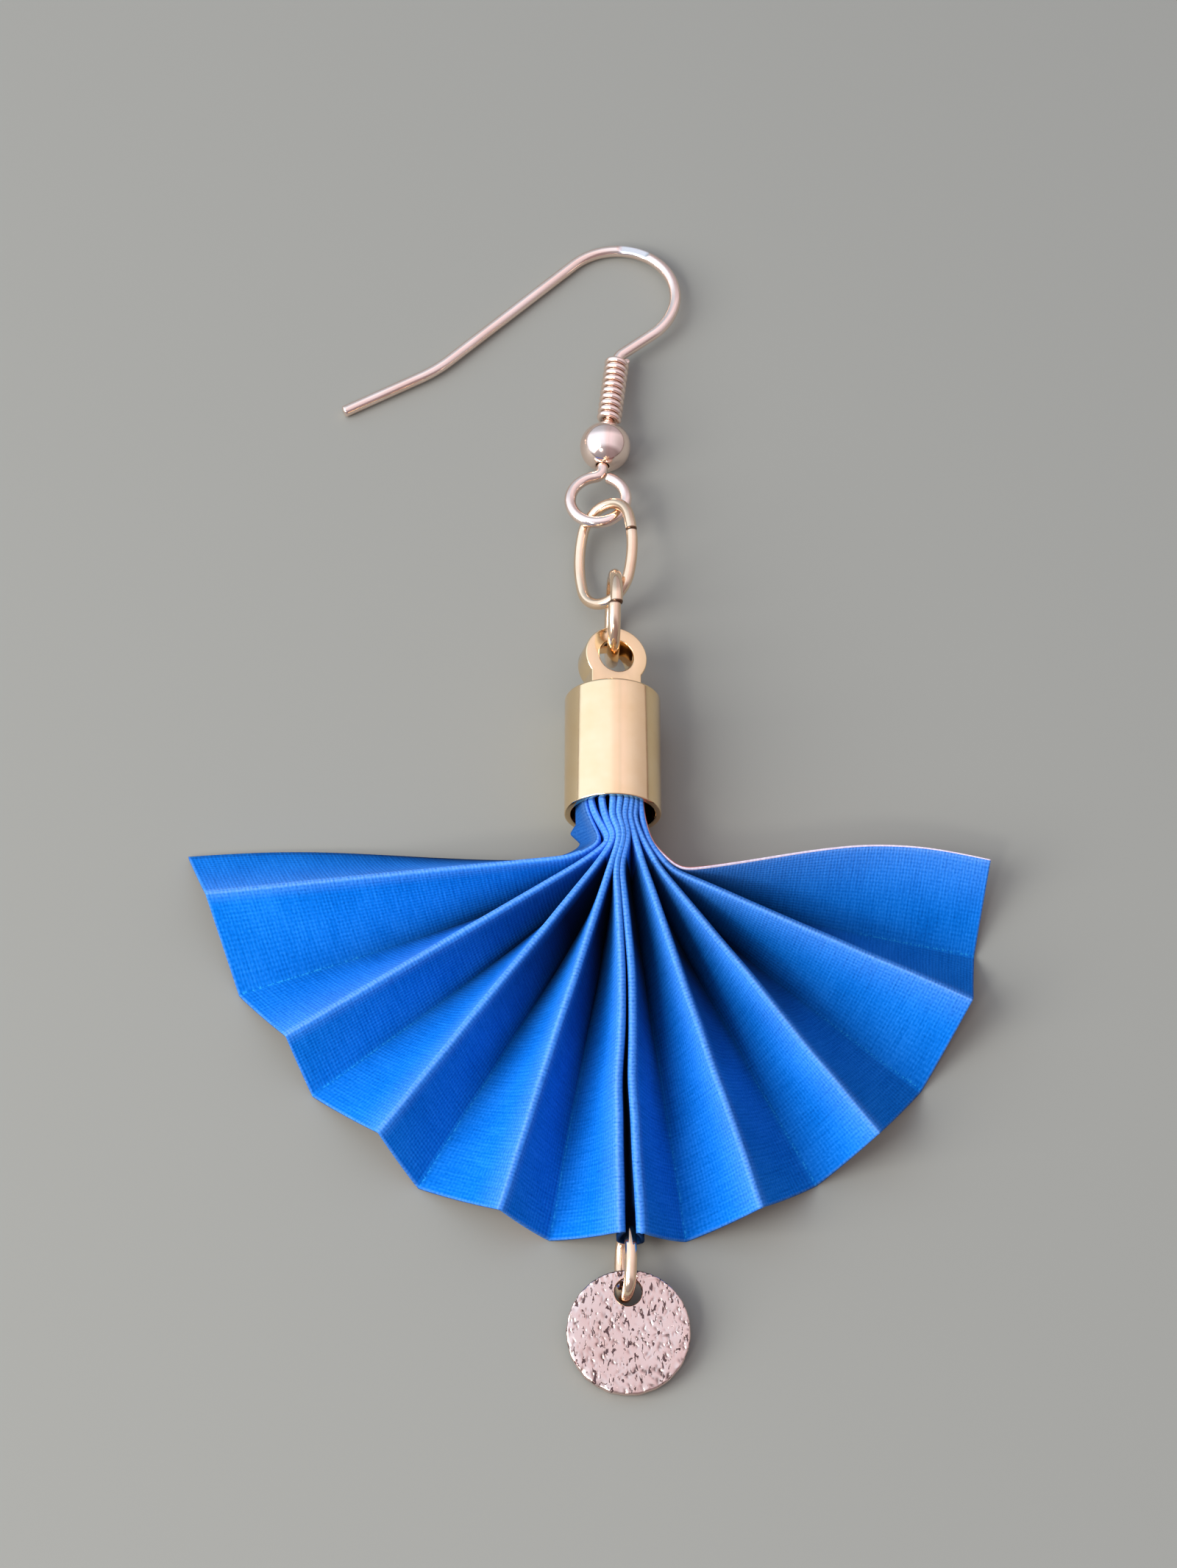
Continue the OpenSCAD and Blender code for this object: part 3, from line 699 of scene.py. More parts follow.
# %% The charm's ring
charm_wire_r = 0.325 * MM
charm_len, charm_h = 3.65 * MM, 2.55 * MM
charm_lean = 12.0
flat_charm = oval_path(charm_len, charm_h, -charm_len / 12, wire_cut)
charm_path = turned(flat_charm, (0, 1, 0), 90 + charm_lean)
charm_up = turned((1, 0, 0), (0, 1, 0), charm_lean)
charm_ring = wire_mesh("charm_wire_ring", charm_path + middle_of("charm_ring"), charm_wire_r, charm_up)
finish_wire(charm_ring, "charm_ring", link_gold)
print("charm ring faces:", len(charm_ring.data.polygons))


# %% [markdown]
# The cord end is turned from bar, so its cup is a lathed outline with tiny rounded edges, which catch the
# bright rim that a sharp computer edge would miss.

# %% Cup of the cord end
cap_len = 7.24 * MM
cap_wall = 0.35 * MM
cap_floor = 0.5 * MM
rim_round = 0.09 * MM
shoulder_round = 0.16 * MM
inner_r = cap_r - cap_wall
floor_y = cap_len - cap_floor
axis_r = 0.02 * MM
cup_outline = np.concatenate([
    arc(rim_round, cap_r - rim_round, rim_round, 180, 90, 6),
    arc(cap_len - shoulder_round, cap_r - shoulder_round, shoulder_round, 90, 0, 8),
    [(cap_len, cap_r * 0.5), (cap_len, cap_r * 0.2), (cap_len, axis_r), (floor_y, axis_r)],
    [(floor_y, inner_r * 0.5), (floor_y, inner_r), (cap_len * 0.5, inner_r)],
    arc(rim_round, inner_r + rim_round, rim_round, 270, 180, 6),
])
cup_points, cup_quads = lathe(cup_outline, segments=192)
print("cup points:", len(cup_points))


# %% [markdown]
# The eye plate is a flat ring that widens into a root. Measured by its direction from the hole, its edge is
# a circle at the head and straight sides at the root, so the whole plate is one grid: direction round the
# hole by position round its section. In the section, four quarter circles stand at the outer top, the inner
# top, the inner bottom and the outer bottom.

# %% Eye plate of the cord end
eye_reach = 2.4 * MM
eye_r = 1.8 * MM
eye_hole_r = 1.0 * MM
eye_half_t = 0.875 * MM
eye_root_half = 1.45 * MM
eye_round = 0.08 * MM
eye_roll = 16.0

toward = np.radians(np.linspace(0, 360, 180, endpoint=False))
side_edge = eye_root_half / np.maximum(np.abs(np.cos(toward)), 1e-6)
root_edge = (eye_reach + cap_floor / 2) / np.maximum(-np.sin(toward), 1e-6)
edge_r = np.where(np.sin(toward) < 0, np.maximum(np.minimum(side_edge, root_edge), eye_r), eye_r)

is_out, side = np.repeat([1, 0, 0, 1], 5), np.repeat([1, 1, -1, -1], 5)
quarter = np.radians(np.concatenate([90 * corner + np.linspace(0, 90, 5) for corner in range(4)]))
r_wide = np.where(is_out > 0, edge_r[:, None] - eye_round, eye_hole_r + eye_round)
plate_r = r_wide + eye_round * np.cos(quarter)
plate_z = side * (eye_half_t - eye_round) + eye_round * np.sin(quarter) + 0 * plate_r
plate_x, plate_y = plate_r * np.cos(toward)[:, None], eye_reach + plate_r * np.sin(toward)[:, None]
plate_points = np.stack([plate_x, plate_y, plate_z], axis=-1).reshape(-1, 3)
plate_points = turned(plate_points, (0, 1, 0), eye_roll) + [0, cap_len, 0]
plate_quads = grid_faces(len(toward), len(quarter), wrap_rows=True, wrap_columns=True)

cap_points = np.concatenate([cup_points, plate_points]) + np.array(mouth)
cap = build_mesh("cord_end", cap_points, np.concatenate([cup_quads, plate_quads + len(cup_points)]))
cap.data.materials.append(cap_gold)
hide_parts("end_cap")
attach(cap, "root")
print("cord end faces:", len(cap.data.polygons))


# %% [markdown]
# The disc is cast with a rough face: shallow pits of every size, a lumpy edge and a worn bright rim. The
# pits are sums of smooth dimples at seeded places, so that they are real dents that break every highlight.

# %% Pits of the disc
disc_d = 6.5 * MM
disc_t = 0.8 * MM
disc_margin = 0.47 * MM
disc_hole_r = 0.71 * MM
disc_low, disc_high = (np.array(v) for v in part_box("charm_disc"))
disc_rise = 1.1 * MM
disc_tip = math.degrees(math.asin(disc_rise / disc_d))
hole_out = disc_d / 2 - disc_margin - disc_hole_r
PIT_COUNT, PIT_DEPTH, PIT_FLOOR = 420, 0.042 * MM, 0.09 * MM


def pits(x, y):
    """Depth of the pits at points of the disc's face, in metres, as a sum of short grooves.

    A groove is a Gaussian dimple drawn out along its own direction."""
    rng = np.random.default_rng(7)
    deep = np.zeros_like(x)
    spots = rng.uniform(-1, 1, (PIT_COUNT, 2)) * disc_d / 2
    widths = rng.uniform(0.04, 0.08, PIT_COUNT) * MM
    longer = rng.uniform(1.0, 2.6, PIT_COUNT)
    turns = rng.normal(1.9, 0.6, PIT_COUNT)
    depths = rng.uniform(0.25, 1.0, PIT_COUNT) ** 1.5 * PIT_DEPTH
    for (sx, sy), width, stretch, turn_by, depth in zip(spots, widths, longer, turns, depths):
        along = (x - sx) * math.cos(turn_by) + (y - sy) * math.sin(turn_by)
        aside = -(x - sx) * math.sin(turn_by) + (y - sy) * math.cos(turn_by)
        far = (along / stretch) ** 2 + aside**2
        deep += depth * np.exp(-far / width**2)
    return np.minimum(deep, PIT_FLOOR)


middle_line = np.linspace(-disc_d / 2, disc_d / 2, 601)
print("deepest pit on the middle line in mm:", round(float(pits(middle_line, 0).max() / MM), 3))


# %% [markdown]
# The disc's surface is a grid of direction and distance. Each ray leaves the hole's rim and ends at the
# disc's rim, so the grid's inner row is round the hole, and the same rays go on over both rounded edges and
# underneath.

# %% Surface of the disc
RIM_LUMP = 0.05 * MM


def disc_surface(columns=520, rows=120):
    """A pitted disc with an off-centre hole, standing on z = 0, and the share of pit at each point.

    The distance to the rim along direction a, from a point hole_out off the middle, is
    -hole_out sin a + sqrt(r^2 - (hole_out cos a)^2), less the lumps."""
    a = np.linspace(0, 2 * np.pi, columns, endpoint=False)
    r, inner, edge = disc_d / 2, disc_hole_r, 0.13 * MM
    bumps = 0.5 + 0.25 * np.sin(23 * a + 1.1) + 0.25 * np.sin(41 * a + 2.0 * np.sin(3 * a))
    worn = 0.35 + 0.65 * np.clip(-np.cos(a - math.radians(45)), 0, 1)
    rim = -hole_out * np.sin(a) + np.sqrt(r**2 - (hole_out * np.cos(a)) ** 2) - RIM_LUMP * bumps * worn
    face_s = np.linspace(0, 1, rows)[:, None]
    face_r = inner + 0.5 * edge + face_s * (rim - 1.5 * edge - inner)
    x, y = face_r * np.cos(a), hole_out + face_r * np.sin(a)
    near_rim = np.clip(1 - (rim - edge - face_r) / (0.35 * MM), 0, 1)
    swell = 0.008 * MM * (np.sin(x / (0.37 * MM)) * np.cos(y / (0.29 * MM) + 0.8) - 1)
    deep = pits(x, y) * (0.15 + 0.85 * face_s**0.3)
    lumps = RIM_LUMP * near_rim * worn * (0.5 + 0.5 * np.sin(31 * a + 9 * face_s))
    top = np.minimum(disc_t + swell - deep - lumps, disc_t)
    quarter = np.radians(np.linspace(0, 90, 6))

    def turned_over(at_r, sign, base, way, angles):
        """Rows of a rounded edge, for angles from 0 on the flat to 90 degrees on the upright side."""
        made = []
        for k in angles:
            out = at_r + sign * np.sin(k) * edge * (1 if sign > 0 else 0.5)
            level = base + way * edge * (1 - math.cos(k))
            made.append(np.stack([out * np.cos(a), hole_out + out * np.sin(a), level], axis=-1))
        return made

    rim_flat, hole_flat = rim - edge, inner + 0.5 * edge
    outer = turned_over(rim_flat, 1, top[-1], -1, quarter[1:])
    lower = turned_over(rim_flat, 1, 0 * a, 1, quarter[::-1])
    under = turned_over(hole_flat, -1, 0 * a, 1, quarter)
    back_up = turned_over(hole_flat, -1, top[0], -1, quarter[:0:-1])
    face = np.stack([x, y, top], axis=-1)
    points = np.concatenate([face, np.stack(outer + lower + under + back_up)])
    pit = np.zeros(points.shape[:2])
    pit[:rows] = np.clip(deep / (0.05 * MM), 0, 1)
    quads = grid_faces(len(points), columns, wrap_rows=True, wrap_columns=True)
    return points.reshape(-1, 3), quads, pit.ravel()


disc_points, disc_quads, disc_pit = disc_surface()
print("disc points:", len(disc_points))


# %% [markdown]
# The disc leans a little: its near edge rests on the table, and its far edge, where the ring holds it, is
# raised.

# %% Charm disc
disc_points = turned(disc_points, (1, 0, 0), disc_tip)
half_y, half_z = disc_d / 2 * math.cos(math.radians(disc_tip)), disc_d / 2 * math.sin(math.radians(disc_tip))
disc_middle = np.array([(disc_low[0] + disc_high[0]) / 2, disc_high[1] - half_y, half_z])
disc = build_mesh("disc", disc_points + disc_middle, disc_quads)
point_numbers(disc, "pit", disc_pit)
disc.data.materials.append(disc_gold)
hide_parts("charm_disc")
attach(disc, "root")
in_pits = float((disc_pit > 0.3).mean())
print("disc faces:", len(disc.data.polygons), "share of points in pits:", round(in_pits, 2))


# %% [markdown]
# The fan is one strip of cotton pressed into ridges and valleys, squeezed into the cord end and spread like
# a hand fan. A fold is a line, so the strip is a grid: fold lines across, distance along the fold the other
# way. Each line starts deep in the cord end, comes out of its mouth, leans to the right, bends at the waist
# and runs on to its own point of the rim.

# %% Folds of the strip
# From the left, valleys and ridges by turns: bearing of the rim's point in degrees from straight out, its
# distance from the hub as a share of fan_reach, its height as a share of fold_h
FOLDS = [
    (-92.0, 1.090, 0.05),
    (-84.0, 1.034, 0.77),
    (-70.3, 1.003, 0.00),
    (-59.0, 0.950, 0.77),
    (-51.1, 0.965, 0.00),
    (-37.8, 0.946, 0.90),
    (-29.9, 0.974, 0.00),
    (-16.8, 0.989, 1.00),
    (-9.7, 0.991, 0.00),
    (0.1, 1.008, 1.10),
    (1.5, 0.999, 0.28),
    (3.0, 1.014, 1.13),
    (9.4, 0.993, 0.00),
    (19.8, 1.002, 1.00),
    (29.8, 0.966, 0.00),
    (39.8, 0.980, 0.97),
    (51.5, 0.953, 0.00),
    (65.3, 0.958, 0.87),
    (75.4, 0.924, 0.00),
    (89.3, 0.937, 0.73),
]
# The ridges through the neck, in millimetres from the middle of the cord end's mouth: right at the mouth,
# then right and along at a quarter of the way, at the waist's bend and past it. The first row is the left
# cut edge.
NECK = [
    (-2.00, -1.98, -1.00, -1.62, -2.20, -3.40, -2.75),
    (-1.62, -1.22, -1.10, -0.66, -2.35, -2.20, -3.20),
    (-1.28, -0.78, -1.15, -0.06, -2.40, -1.75, -3.70),
    (-0.66, -0.38, -1.20, 0.14, -2.35, -0.84, -3.85),
    (0.02, -0.10, -1.00, 0.42, -2.20, -0.07, -3.80),
    (0.42, 0.24, -0.85, 0.64, -2.20, 0.12, -4.00),
    (0.78, 0.56, -1.00, 0.86, -2.20, 0.40, -4.00),
    (1.04, 0.86, -0.90, 1.20, -2.30, 1.62, -3.80),
    (1.28, 1.14, -0.92, 1.60, -2.30, 2.50, -4.00),
    (1.50, 1.62, -1.20, 2.00, -2.50, 3.10, -4.00),
    (1.62, 1.80, -1.20, 2.20, -2.50, 3.60, -3.95),
]
bearing, reach, rim_share = (np.array(column) for column in zip(*FOLDS))
folds = len(FOLDS)
middle_valley = 10
is_ridge = np.arange(folds) % 2 == 1
fan_reach = 22.0 * MM
fold_h = 3.0 * MM
cloth_t = 0.18 * MM
hub = np.array([mouth.x + 0.25 * MM, mouth.y - 2.3 * MM])
neck_in = 4.0 * MM
neck_r = 2.15 * MM
print("folds:", folds, "of them ridges:", int(is_ridge.sum()))


# %% [markdown]
# In plan, each fold joins five points, one after the other: deep in the cord end, at its mouth, at two
# places in the neck and past the waist. A weighted average then rounds the corners, as stiff cloth would.

# %% Folds through the neck
def neck_points():
    """Five control points of every fold in plan, as folds by 5 by 2.

    The table holds the left edge and the ten ridges, the last of them the right edge; a valley lies half way
    between the ridges beside it."""
    table = np.array(NECK) * MM
    at_mouth = np.stack([table[:, 0], 0 * table[:, 0]], axis=1)
    ridge = np.stack([at_mouth + [0, neck_in], at_mouth, *(table[:, k:k + 2] for k in (1, 3, 5))], axis=1)
    places = np.where(is_ridge | (np.arange(folds) == 0))[0]
    every = np.empty((folds, 5, 2))
    every[places] = ridge
    for i in np.setdiff1d(np.arange(folds), places):
        every[i] = (every[i - 1] + every[i + 1]) / 2
    return every + [mouth.x, mouth.y]


def smoothed(lines, width):
    """A Gaussian average along each line, which keeps both of its ends."""
    k = np.exp(-0.5 * (np.arange(-width, width + 1) / (width / 2.4)) ** 2)
    k /= k.sum()
    before = 2 * lines[:, :1] - lines[:, width:0:-1]
    after = 2 * lines[:, -1:] - lines[:, -2:-width - 2:-1]
    padded = np.concatenate([before, lines, after], axis=1)
    return sum(w * padded[:, i:i + lines.shape[1]] for i, w in enumerate(k))


control = neck_points()
print("widest neck at the mouth in mm:", round(float(np.ptp(control[:, 1, 0])) / MM, 2))


# %% [markdown]
# Past the waist, each line runs straight to the rim, and then it gets its height. A cloth simulation could
# find folds as well, but it wouldn't put each ridge where the real one is, so the lines are drawn.

# %% Fold lines from the cord end to the rim
NECK_LEGS = [14, 16, 18, 16]
FAN_ROWS = 190
WAIST_PAST = 0.05
VALLEY_POWER = 2.6
EDGE_BOWS = {0: 0.030, -1: 0.050}
MIDDLE_LEAN = 0.011
WANDER_ASIDE, WANDER_UP = 0.07 * MM, 0.06 * MM


def fold_lines():
    """Where each fold line runs, as an array of folds by rows by 3, and each row's share past the waist.

    Ridges fall evenly from the neck's top to the rim. Valleys fall with the 2.6th power of what is left of
    the line. The cut edges bow towards the cord end as sin(pi t^1.4), and every line wanders a little, as a
    sum of three sine waves."""
    toward = np.radians(bearing)
    rim = hub + (reach * fan_reach)[:, None] * np.stack([np.sin(toward), -np.cos(toward)], 1)
    parts = []
    for i, rows in enumerate(NECK_LEGS):
        s = np.linspace(0, 1, rows, endpoint=False)[None, :, None]
        parts.append(control[:, i:i + 1] + s * (control[:, i + 1:i + 2] - control[:, i:i + 1]))
    t = np.linspace(0, 1, FAN_ROWS)
    out = control[:, 4:5] + t[None, :, None] * (rim - control[:, 4])[:, None]
    for edge, bow in EDGE_BOWS.items():
        out[edge, :, 1] += bow * fan_reach * np.sin(np.pi * t**1.4)
    lean = MIDDLE_LEAN * fan_reach * np.sin(np.pi * np.clip(t / 0.6, 0, 1))
    out[middle_valley - 1:middle_valley + 2, :, 0] += lean
    plan = smoothed(np.concatenate(parts + [out], axis=1), 12)

    mouth_x = control[:, 1, 0] - mouth.x
    half = np.sqrt(np.maximum(neck_r**2 - mouth_x**2, (0.3 * neck_r) ** 2))
    top, low = mouth.z + half, mouth.z - half
    top[0] = low[0] = mouth.z + 0.15 * MM
    to_waist = np.linspace(0, WAIST_PAST, NECK_LEGS[3])
    past = np.concatenate([np.zeros(sum(NECK_LEGS[:3])), to_waist, WAIST_PAST + (1 - WAIST_PAST) * t])
    rim_z = rim_share * fold_h
    ridge = top[:, None] + past * (rim_z - top)[:, None]
    valley = rim_z[:, None] + (1 - past) ** VALLEY_POWER * (low - rim_z)[:, None]
    z = np.where(is_ridge[:, None], ridge, valley)
    lines = np.concatenate([plan, z[..., None]], axis=2)

    rng = np.random.default_rng(3)
    phase, waves = rng.uniform(0, 2 * np.pi, (folds, 3)), np.array([1.3, 2.9, 5.1])
    waving = (np.sin(2 * np.pi * waves * past[:, None] + phase[:, None]) / waves).sum(-1)
    wander = waving * past * (1 - past**6)
    lines[..., 0] += WANDER_ASIDE * wander
    lines[..., 2] += np.where(is_ridge[:, None], WANDER_UP * wander, 0)
    return lines, past


lines, past = fold_lines()
# Every row near the neck is kept, and every second one further out
DENSE_ROWS, last = 90, lines.shape[1] - 1
keep = np.unique(np.concatenate([np.arange(DENSE_ROWS), np.arange(DENSE_ROWS, last, 2), [last]]))
lines, past = lines[:, keep], past[keep]
rows = len(past)
print("fold lines:", folds, "rows:", rows)


# %% [markdown]
# Across a panel, the cloth leaves the ridge on a small arc, because a pressed cotton ridge still has a
# radius, and then sinks towards the valley. Near the neck the panels stand almost upright, so the arc is
# most of what is seen, like a row of cords. Near the rim the cloth has relaxed, so a panel is steep at the
# ridge and flat in the valley: its height is (1 - a) s + a (1 - (1 - s)^2), with s the share across and a
# largest half way out.

# %% Cloth between the folds
# A panel's points: shares of the turn round the ridge's arc, then of the way from its end to the valley
ARC = np.array([0, 0.25, 0.5, 0.75, 1.0])
REST = np.array([0.06, 0.14, 0.25, 0.38, 0.52, 0.66, 0.79, 0.90])
panel_size = len(ARC) + len(REST)
ring_room = 0.46 * MM * np.clip((past - 0.92) / 0.03, 0, 1)


def panel_sections(ridge, valley, ridge_r, channel):
    """Points of one panel from its ridge to its valley, as columns by rows by 3.

    The arc of radius r turns from level to the panel's own slope p, so its end is r sin p along and
    r (1 - cos p) down. channel pushes the wall away from the valley, where a ring lies in the fold."""
    across = valley[:, :2] - ridge[:, :2]
    width = np.linalg.norm(across, axis=1)
    side = across / np.maximum(width, 1e-9)[:, None]
    height = ridge[:, 2] - valley[:, 2]
    a = 0.55 * np.clip(past * 2, 0, 1) * (1 - 0.5 * past**4)
    r = np.minimum(ridge_r, 0.8 * width)
    slope = (1 + a) * height / width
    for _ in range(3):
        p = np.arctan(slope)
        slope = (1 + a) * (height - r * (1 - np.cos(p))) / np.maximum(width - r * np.sin(p), 0.1 * width)
    p = np.arctan(slope)
    end_d, end_h = r * np.sin(p), r * (1 - np.cos(p))
    d = [r * np.sin(p * k) for k in ARC] + [end_d + s * (width - end_d) for s in REST]
    h = [r * (1 - np.cos(p * k)) for k in ARC]
    h += [end_h + (height - end_h) * ((1 - a) * s + a * (1 - (1 - s) ** 2)) for s in REST]
    d, h = np.array(d), np.array(h)
    share = np.concatenate([0 * ARC, REST])[:, None]
    d = d - channel * np.sin(np.pi * share**0.7)
    plan = ridge[None, :, :2] + d[..., None] * side[None]
    return np.concatenate([plan, (ridge[None, :, 2] - h)[..., None]], axis=2)


print("points across a panel:", panel_size)


# %% [markdown]
# The panels are laid side by side, and each fold line is kept once. The two panels beside the middle slit
# open towards the rim, where the charm's ring lies between them. How far each point is from its ridge is
# kept too, for the finish's pale band of wear and painted highlight along the ridges.

# %% Strip from edge to edge
def cloth_middle():
    """The strip's middle surface, its points' distances from their ridges and their shares of the way to
    their valleys."""
    columns_of, near_ridge, share_of = [], [], []
    # The arc's last points get a small share, so that the painted shade starts on the steep end of the arc.
    share = np.concatenate([[0, 0, 0.01, 0.03, 0.05], REST])
    for i in range(folds - 1):
        ridge_first = is_ridge[i]
        ridge, valley = (lines[i], lines[i + 1]) if ridge_first else (lines[i + 1], lines[i])
        ridge_r = (0.09 + 0.15 * past) * MM if i < folds - 2 else 0.04 * MM
        section = panel_sections(ridge, valley, ridge_r, ring_room if middle_valley in (i, i + 1) else 0)
        length = np.cumsum(np.linalg.norm(np.diff(section, axis=0, prepend=section[:1]), axis=2), axis=0)
        # On a panel that faces away from the window the distance from the ridge counts three times, and on
        # three panels that face it 0.6 times, so the pale band of wear and painted highlight lies mostly on
        # the lit side.
        if ridge_first:
            columns_of.append(section)
            near_ridge.append(3 * length)
            share_of.append(share)
        else:
            full = np.concatenate([section, valley[None]])
            columns_of.append(full[:0:-1])
            wider = 0.6 if i in (0, 2, folds - 2) else 1.0
            near_ridge.append(wider * np.concatenate([length, length[-1:] + 0.4 * MM])[:0:-1])
            share_of.append(np.append(share, 1.0)[:0:-1])
    columns_of.append(lines[-1][None])
    near_ridge.append(0 * near_ridge[-1][:1])
    share_of.append([0.0])
    middle = np.concatenate(columns_of)
    middle[..., 2] += cloth_t / 2
    return middle, np.concatenate(near_ridge), np.concatenate(share_of)


middle, ridge_away, valley_share = cloth_middle()
# In the neck the pale band of wear and painted highlight is wider.
ridge_away = ridge_away * np.where(past < 0.03, 0.6, 1.0)
columns = len(middle)
slit_panels = slice((middle_valley - 1) * panel_size, (middle_valley + 1) * panel_size)
print("cloth columns:", columns, "rows:", rows)


# %% [markdown]
# The middle surface becomes cloth by stepping half a thickness to each side along its normal, which is the
# cross product of the two directions of the grid. No point goes below the table. Four rows of faces close
# the edges. Beside the neck, one
# tooth of the pinked cut edge stands out.

# %% Cloth with a thickness
tooth_y, tooth_half, tooth_out = mouth.y - 1.30 * MM, 0.55 * MM, 0.42 * MM
tooth = np.clip(1 - np.abs(middle[0, :, 1] - tooth_y) / tooth_half, 0, 1) * (past < 0.02)
fade = np.linspace(1, 0, 6, endpoint=False)[:, None]
middle[:6, :, 0] -= tooth_out * tooth[None] * fade

normal = unit(np.cross(np.gradient(middle, axis=0), -np.gradient(middle, axis=1)))
upper = middle + normal * cloth_t / 2
under = middle - normal * cloth_t / 2
under[..., 2] = np.maximum(under[..., 2], 0)

quads_up = grid_faces(columns, rows)
count = columns * rows
quads_down = quads_up[:, ::-1] + count


def wall(numbers):
    """Quads between the upper and the lower surface along a row of point numbers."""
    return np.stack([numbers[:-1], numbers[1:], numbers[1:] + count, numbers[:-1] + count], axis=1)


number = np.arange(count).reshape(columns, rows)
end_walls = np.concatenate([wall(number[:, 0])[:, ::-1], wall(number[:, -1])])
edge_walls = np.concatenate([wall(number[0]), wall(number[-1])[:, ::-1]])
cloth_quads = np.concatenate([quads_up, quads_down, end_walls, edge_walls])[:, ::-1]
cloth_points = np.concatenate([upper.reshape(-1, 3), under.reshape(-1, 3)])
cloth = build_mesh("pleated_cloth", cloth_points, cloth_quads)
cloth_normals_up = sum(p.normal.z for p in cloth.data.polygons[: len(quads_up)]) / len(quads_up)
print("mean upward normal of the face side:", round(cloth_normals_up, 3))


# %% [markdown]
# The cloth's pattern follows the strip, so it needs a UV map in millimetres of flat cloth: U runs across the
# strip, adding up the true width of each panel, and V runs along the fold.

# %% Flat measure of the cloth
def flat_measure():
    """U adds up the distance between columns at the middle of the fan, and V the length along a fold."""
    step_u = np.linalg.norm(np.diff(middle[:, rows * 3 // 4], axis=0), axis=1)
    step_v = np.linalg.norm(np.diff(middle, axis=1), axis=2).mean(axis=0)
    u, v = (np.concatenate([[0], np.cumsum(step)]) / MM for step in (step_u, step_v))
    return np.meshgrid(u, v, indexing="ij")


flat_u, flat_v = flat_measure()
flat_of = np.tile(np.stack([flat_u.ravel(), flat_v.ravel()], axis=1), (2, 1))
uv_layer = cloth.data.uv_layers.new(name="flat_mm")
loop_points = np.empty(len(cloth.data.loops), np.int32)
cloth.data.loops.foreach_get("vertex_index", loop_points)
uv_layer.data.foreach_set("uv", flat_of[loop_points].ravel().astype(np.float32))
print("flat strip in mm:", round(float(flat_u.max()), 1), "by", round(float(flat_v.max()), 1))


# %% [markdown]
# Light hardly reaches the foot of a deep fold, and the side that is turned away from the window stays dark
# further out. Both are painted shade: a number on each point darkens the cloth's colour there.

# %% Painted shade in the folds
NECK_PAST = 0.04
PAINTED_SLIT_SHADE, PAINTED_FIRST_PANEL_SHADE = 0.92, 0.58


def paint_fold_shade():
    """The painted shade of each point, from 0 to 1, as columns by rows: it darkens the cloth's colour.

    foot is the share across a panel from its ridge to its valley, and out the share from the waist to the
    rim. A panel that faces the window is painted in shade by a power of foot, which fades along out. A panel
    that is turned away is painted dark from right below its ridge to about half way out. The right half is
    painted darker all over."""
    turned_away, right = np.zeros((2, columns, 1))
    for i in range(folds - 1):
        panel = slice(i * panel_size, (i + 1) * panel_size)
        right[panel] = np.clip(bearing[i] / 30, 0, 1)
        if is_ridge[i]:
            turned_away[panel] = np.clip(0.15 + (bearing[i] + 84) / 55, 0, 1)
    foot, out = valley_share[:, None], past[None]
    near_neck = np.clip(1.45 - 1.4 * out, 0, 1)
    near_waist = np.where(out > NECK_PAST, np.clip(1 - out / 0.45, 0, 1), 0)
    toward_rim = (0.32 + 0.36 * right) * foot ** (1.3 - 0.3 * right) * (1 - 0.5 * out**2)
    lit = np.maximum(foot ** (2.0 - (1.5 + 0.3 * right) * near_waist) * near_neck, toward_rim)
    dark = np.clip(14 * foot, 0, 1) * np.clip(1.45 + 0.15 * right - (2.1 - 0.3 * right) * out, 0, 1)
    dark = np.maximum(dark, foot**1.1 * near_neck)
    dark = np.maximum(dark, 0.12 + 0.24 * right + 0.14 * foot)
    shade = np.where(out < NECK_PAST, lit, np.maximum(lit, turned_away * dark))
    shade[:panel_size] = np.where(out < NECK_PAST, PAINTED_FIRST_PANEL_SHADE, shade[:panel_size])
    slit = slice(slit_panels.start + 4, slit_panels.stop - 3)
    shade[slit] = np.maximum(shade[slit], PAINTED_SLIT_SHADE)
    return shade


painted_shade = paint_fold_shade()
print("mean shade in the folds:", round(float(painted_shade.mean()), 3))


# %% [markdown]
# A mesh can store a number on each point, and a finish can read it. That ties wear, painted highlight and
# painted shade to the folds, where a painted image would have to be fitted to them.

# %% Numbers for the cloth's finish
crease = np.clip((valley_share[:, None] - 0.9) / 0.1, 0, 1) * np.clip(3 * past[None] - 1, 0, 1)
cloth_numbers = {
    "ridge_mm": ridge_away / MM, "painted_shade": painted_shade, "rim_mm": flat_v[:, -1:] - flat_v, "crease": crease
}
for name, values in cloth_numbers.items():
    point_numbers(cloth, name, np.tile(values.ravel(), 2))
    print(name, "from", round(float(values.min()), 2), "to", round(float(values.max()), 2))


# %% [markdown]
# The blue is a plain weave: two sine waves in the flat measure give a dot of light for each crossing of
# threads, over three noises for blotches, flecks and slubs. The rim is worn pale. The folds' ridges are pale
# with wear and with painted highlight, which reaches further on the side towards the window, and the foot of
# each fold is painted shade.

# %% Blue cloth
THREAD = 0.10
BLUES = [(0.25, (0.0003, 0.078, 0.36)), (0.5, (0.0010, 0.150, 0.61)), (0.80, (0.016, 0.245, 0.84))]
# Of these colours, the first is the pale of wear and painted highlight, the second the crease threads' and
# the third the near black of painted shade.
WORN_AND_LIT_BLUE, CREASE_BLUE, PAINTED_SHADE_BLUE = (0.17, 0.37, 0.82), (0.03, 0.42, 0.85), (0.0, 0.002, 0.012)


def flat_place(tree):
    """The place on the flat cloth, in millimetres."""
    node = add_node(tree, "UVMap")
    node.uv_map = "flat_mm"
    return node.outputs["UV"]


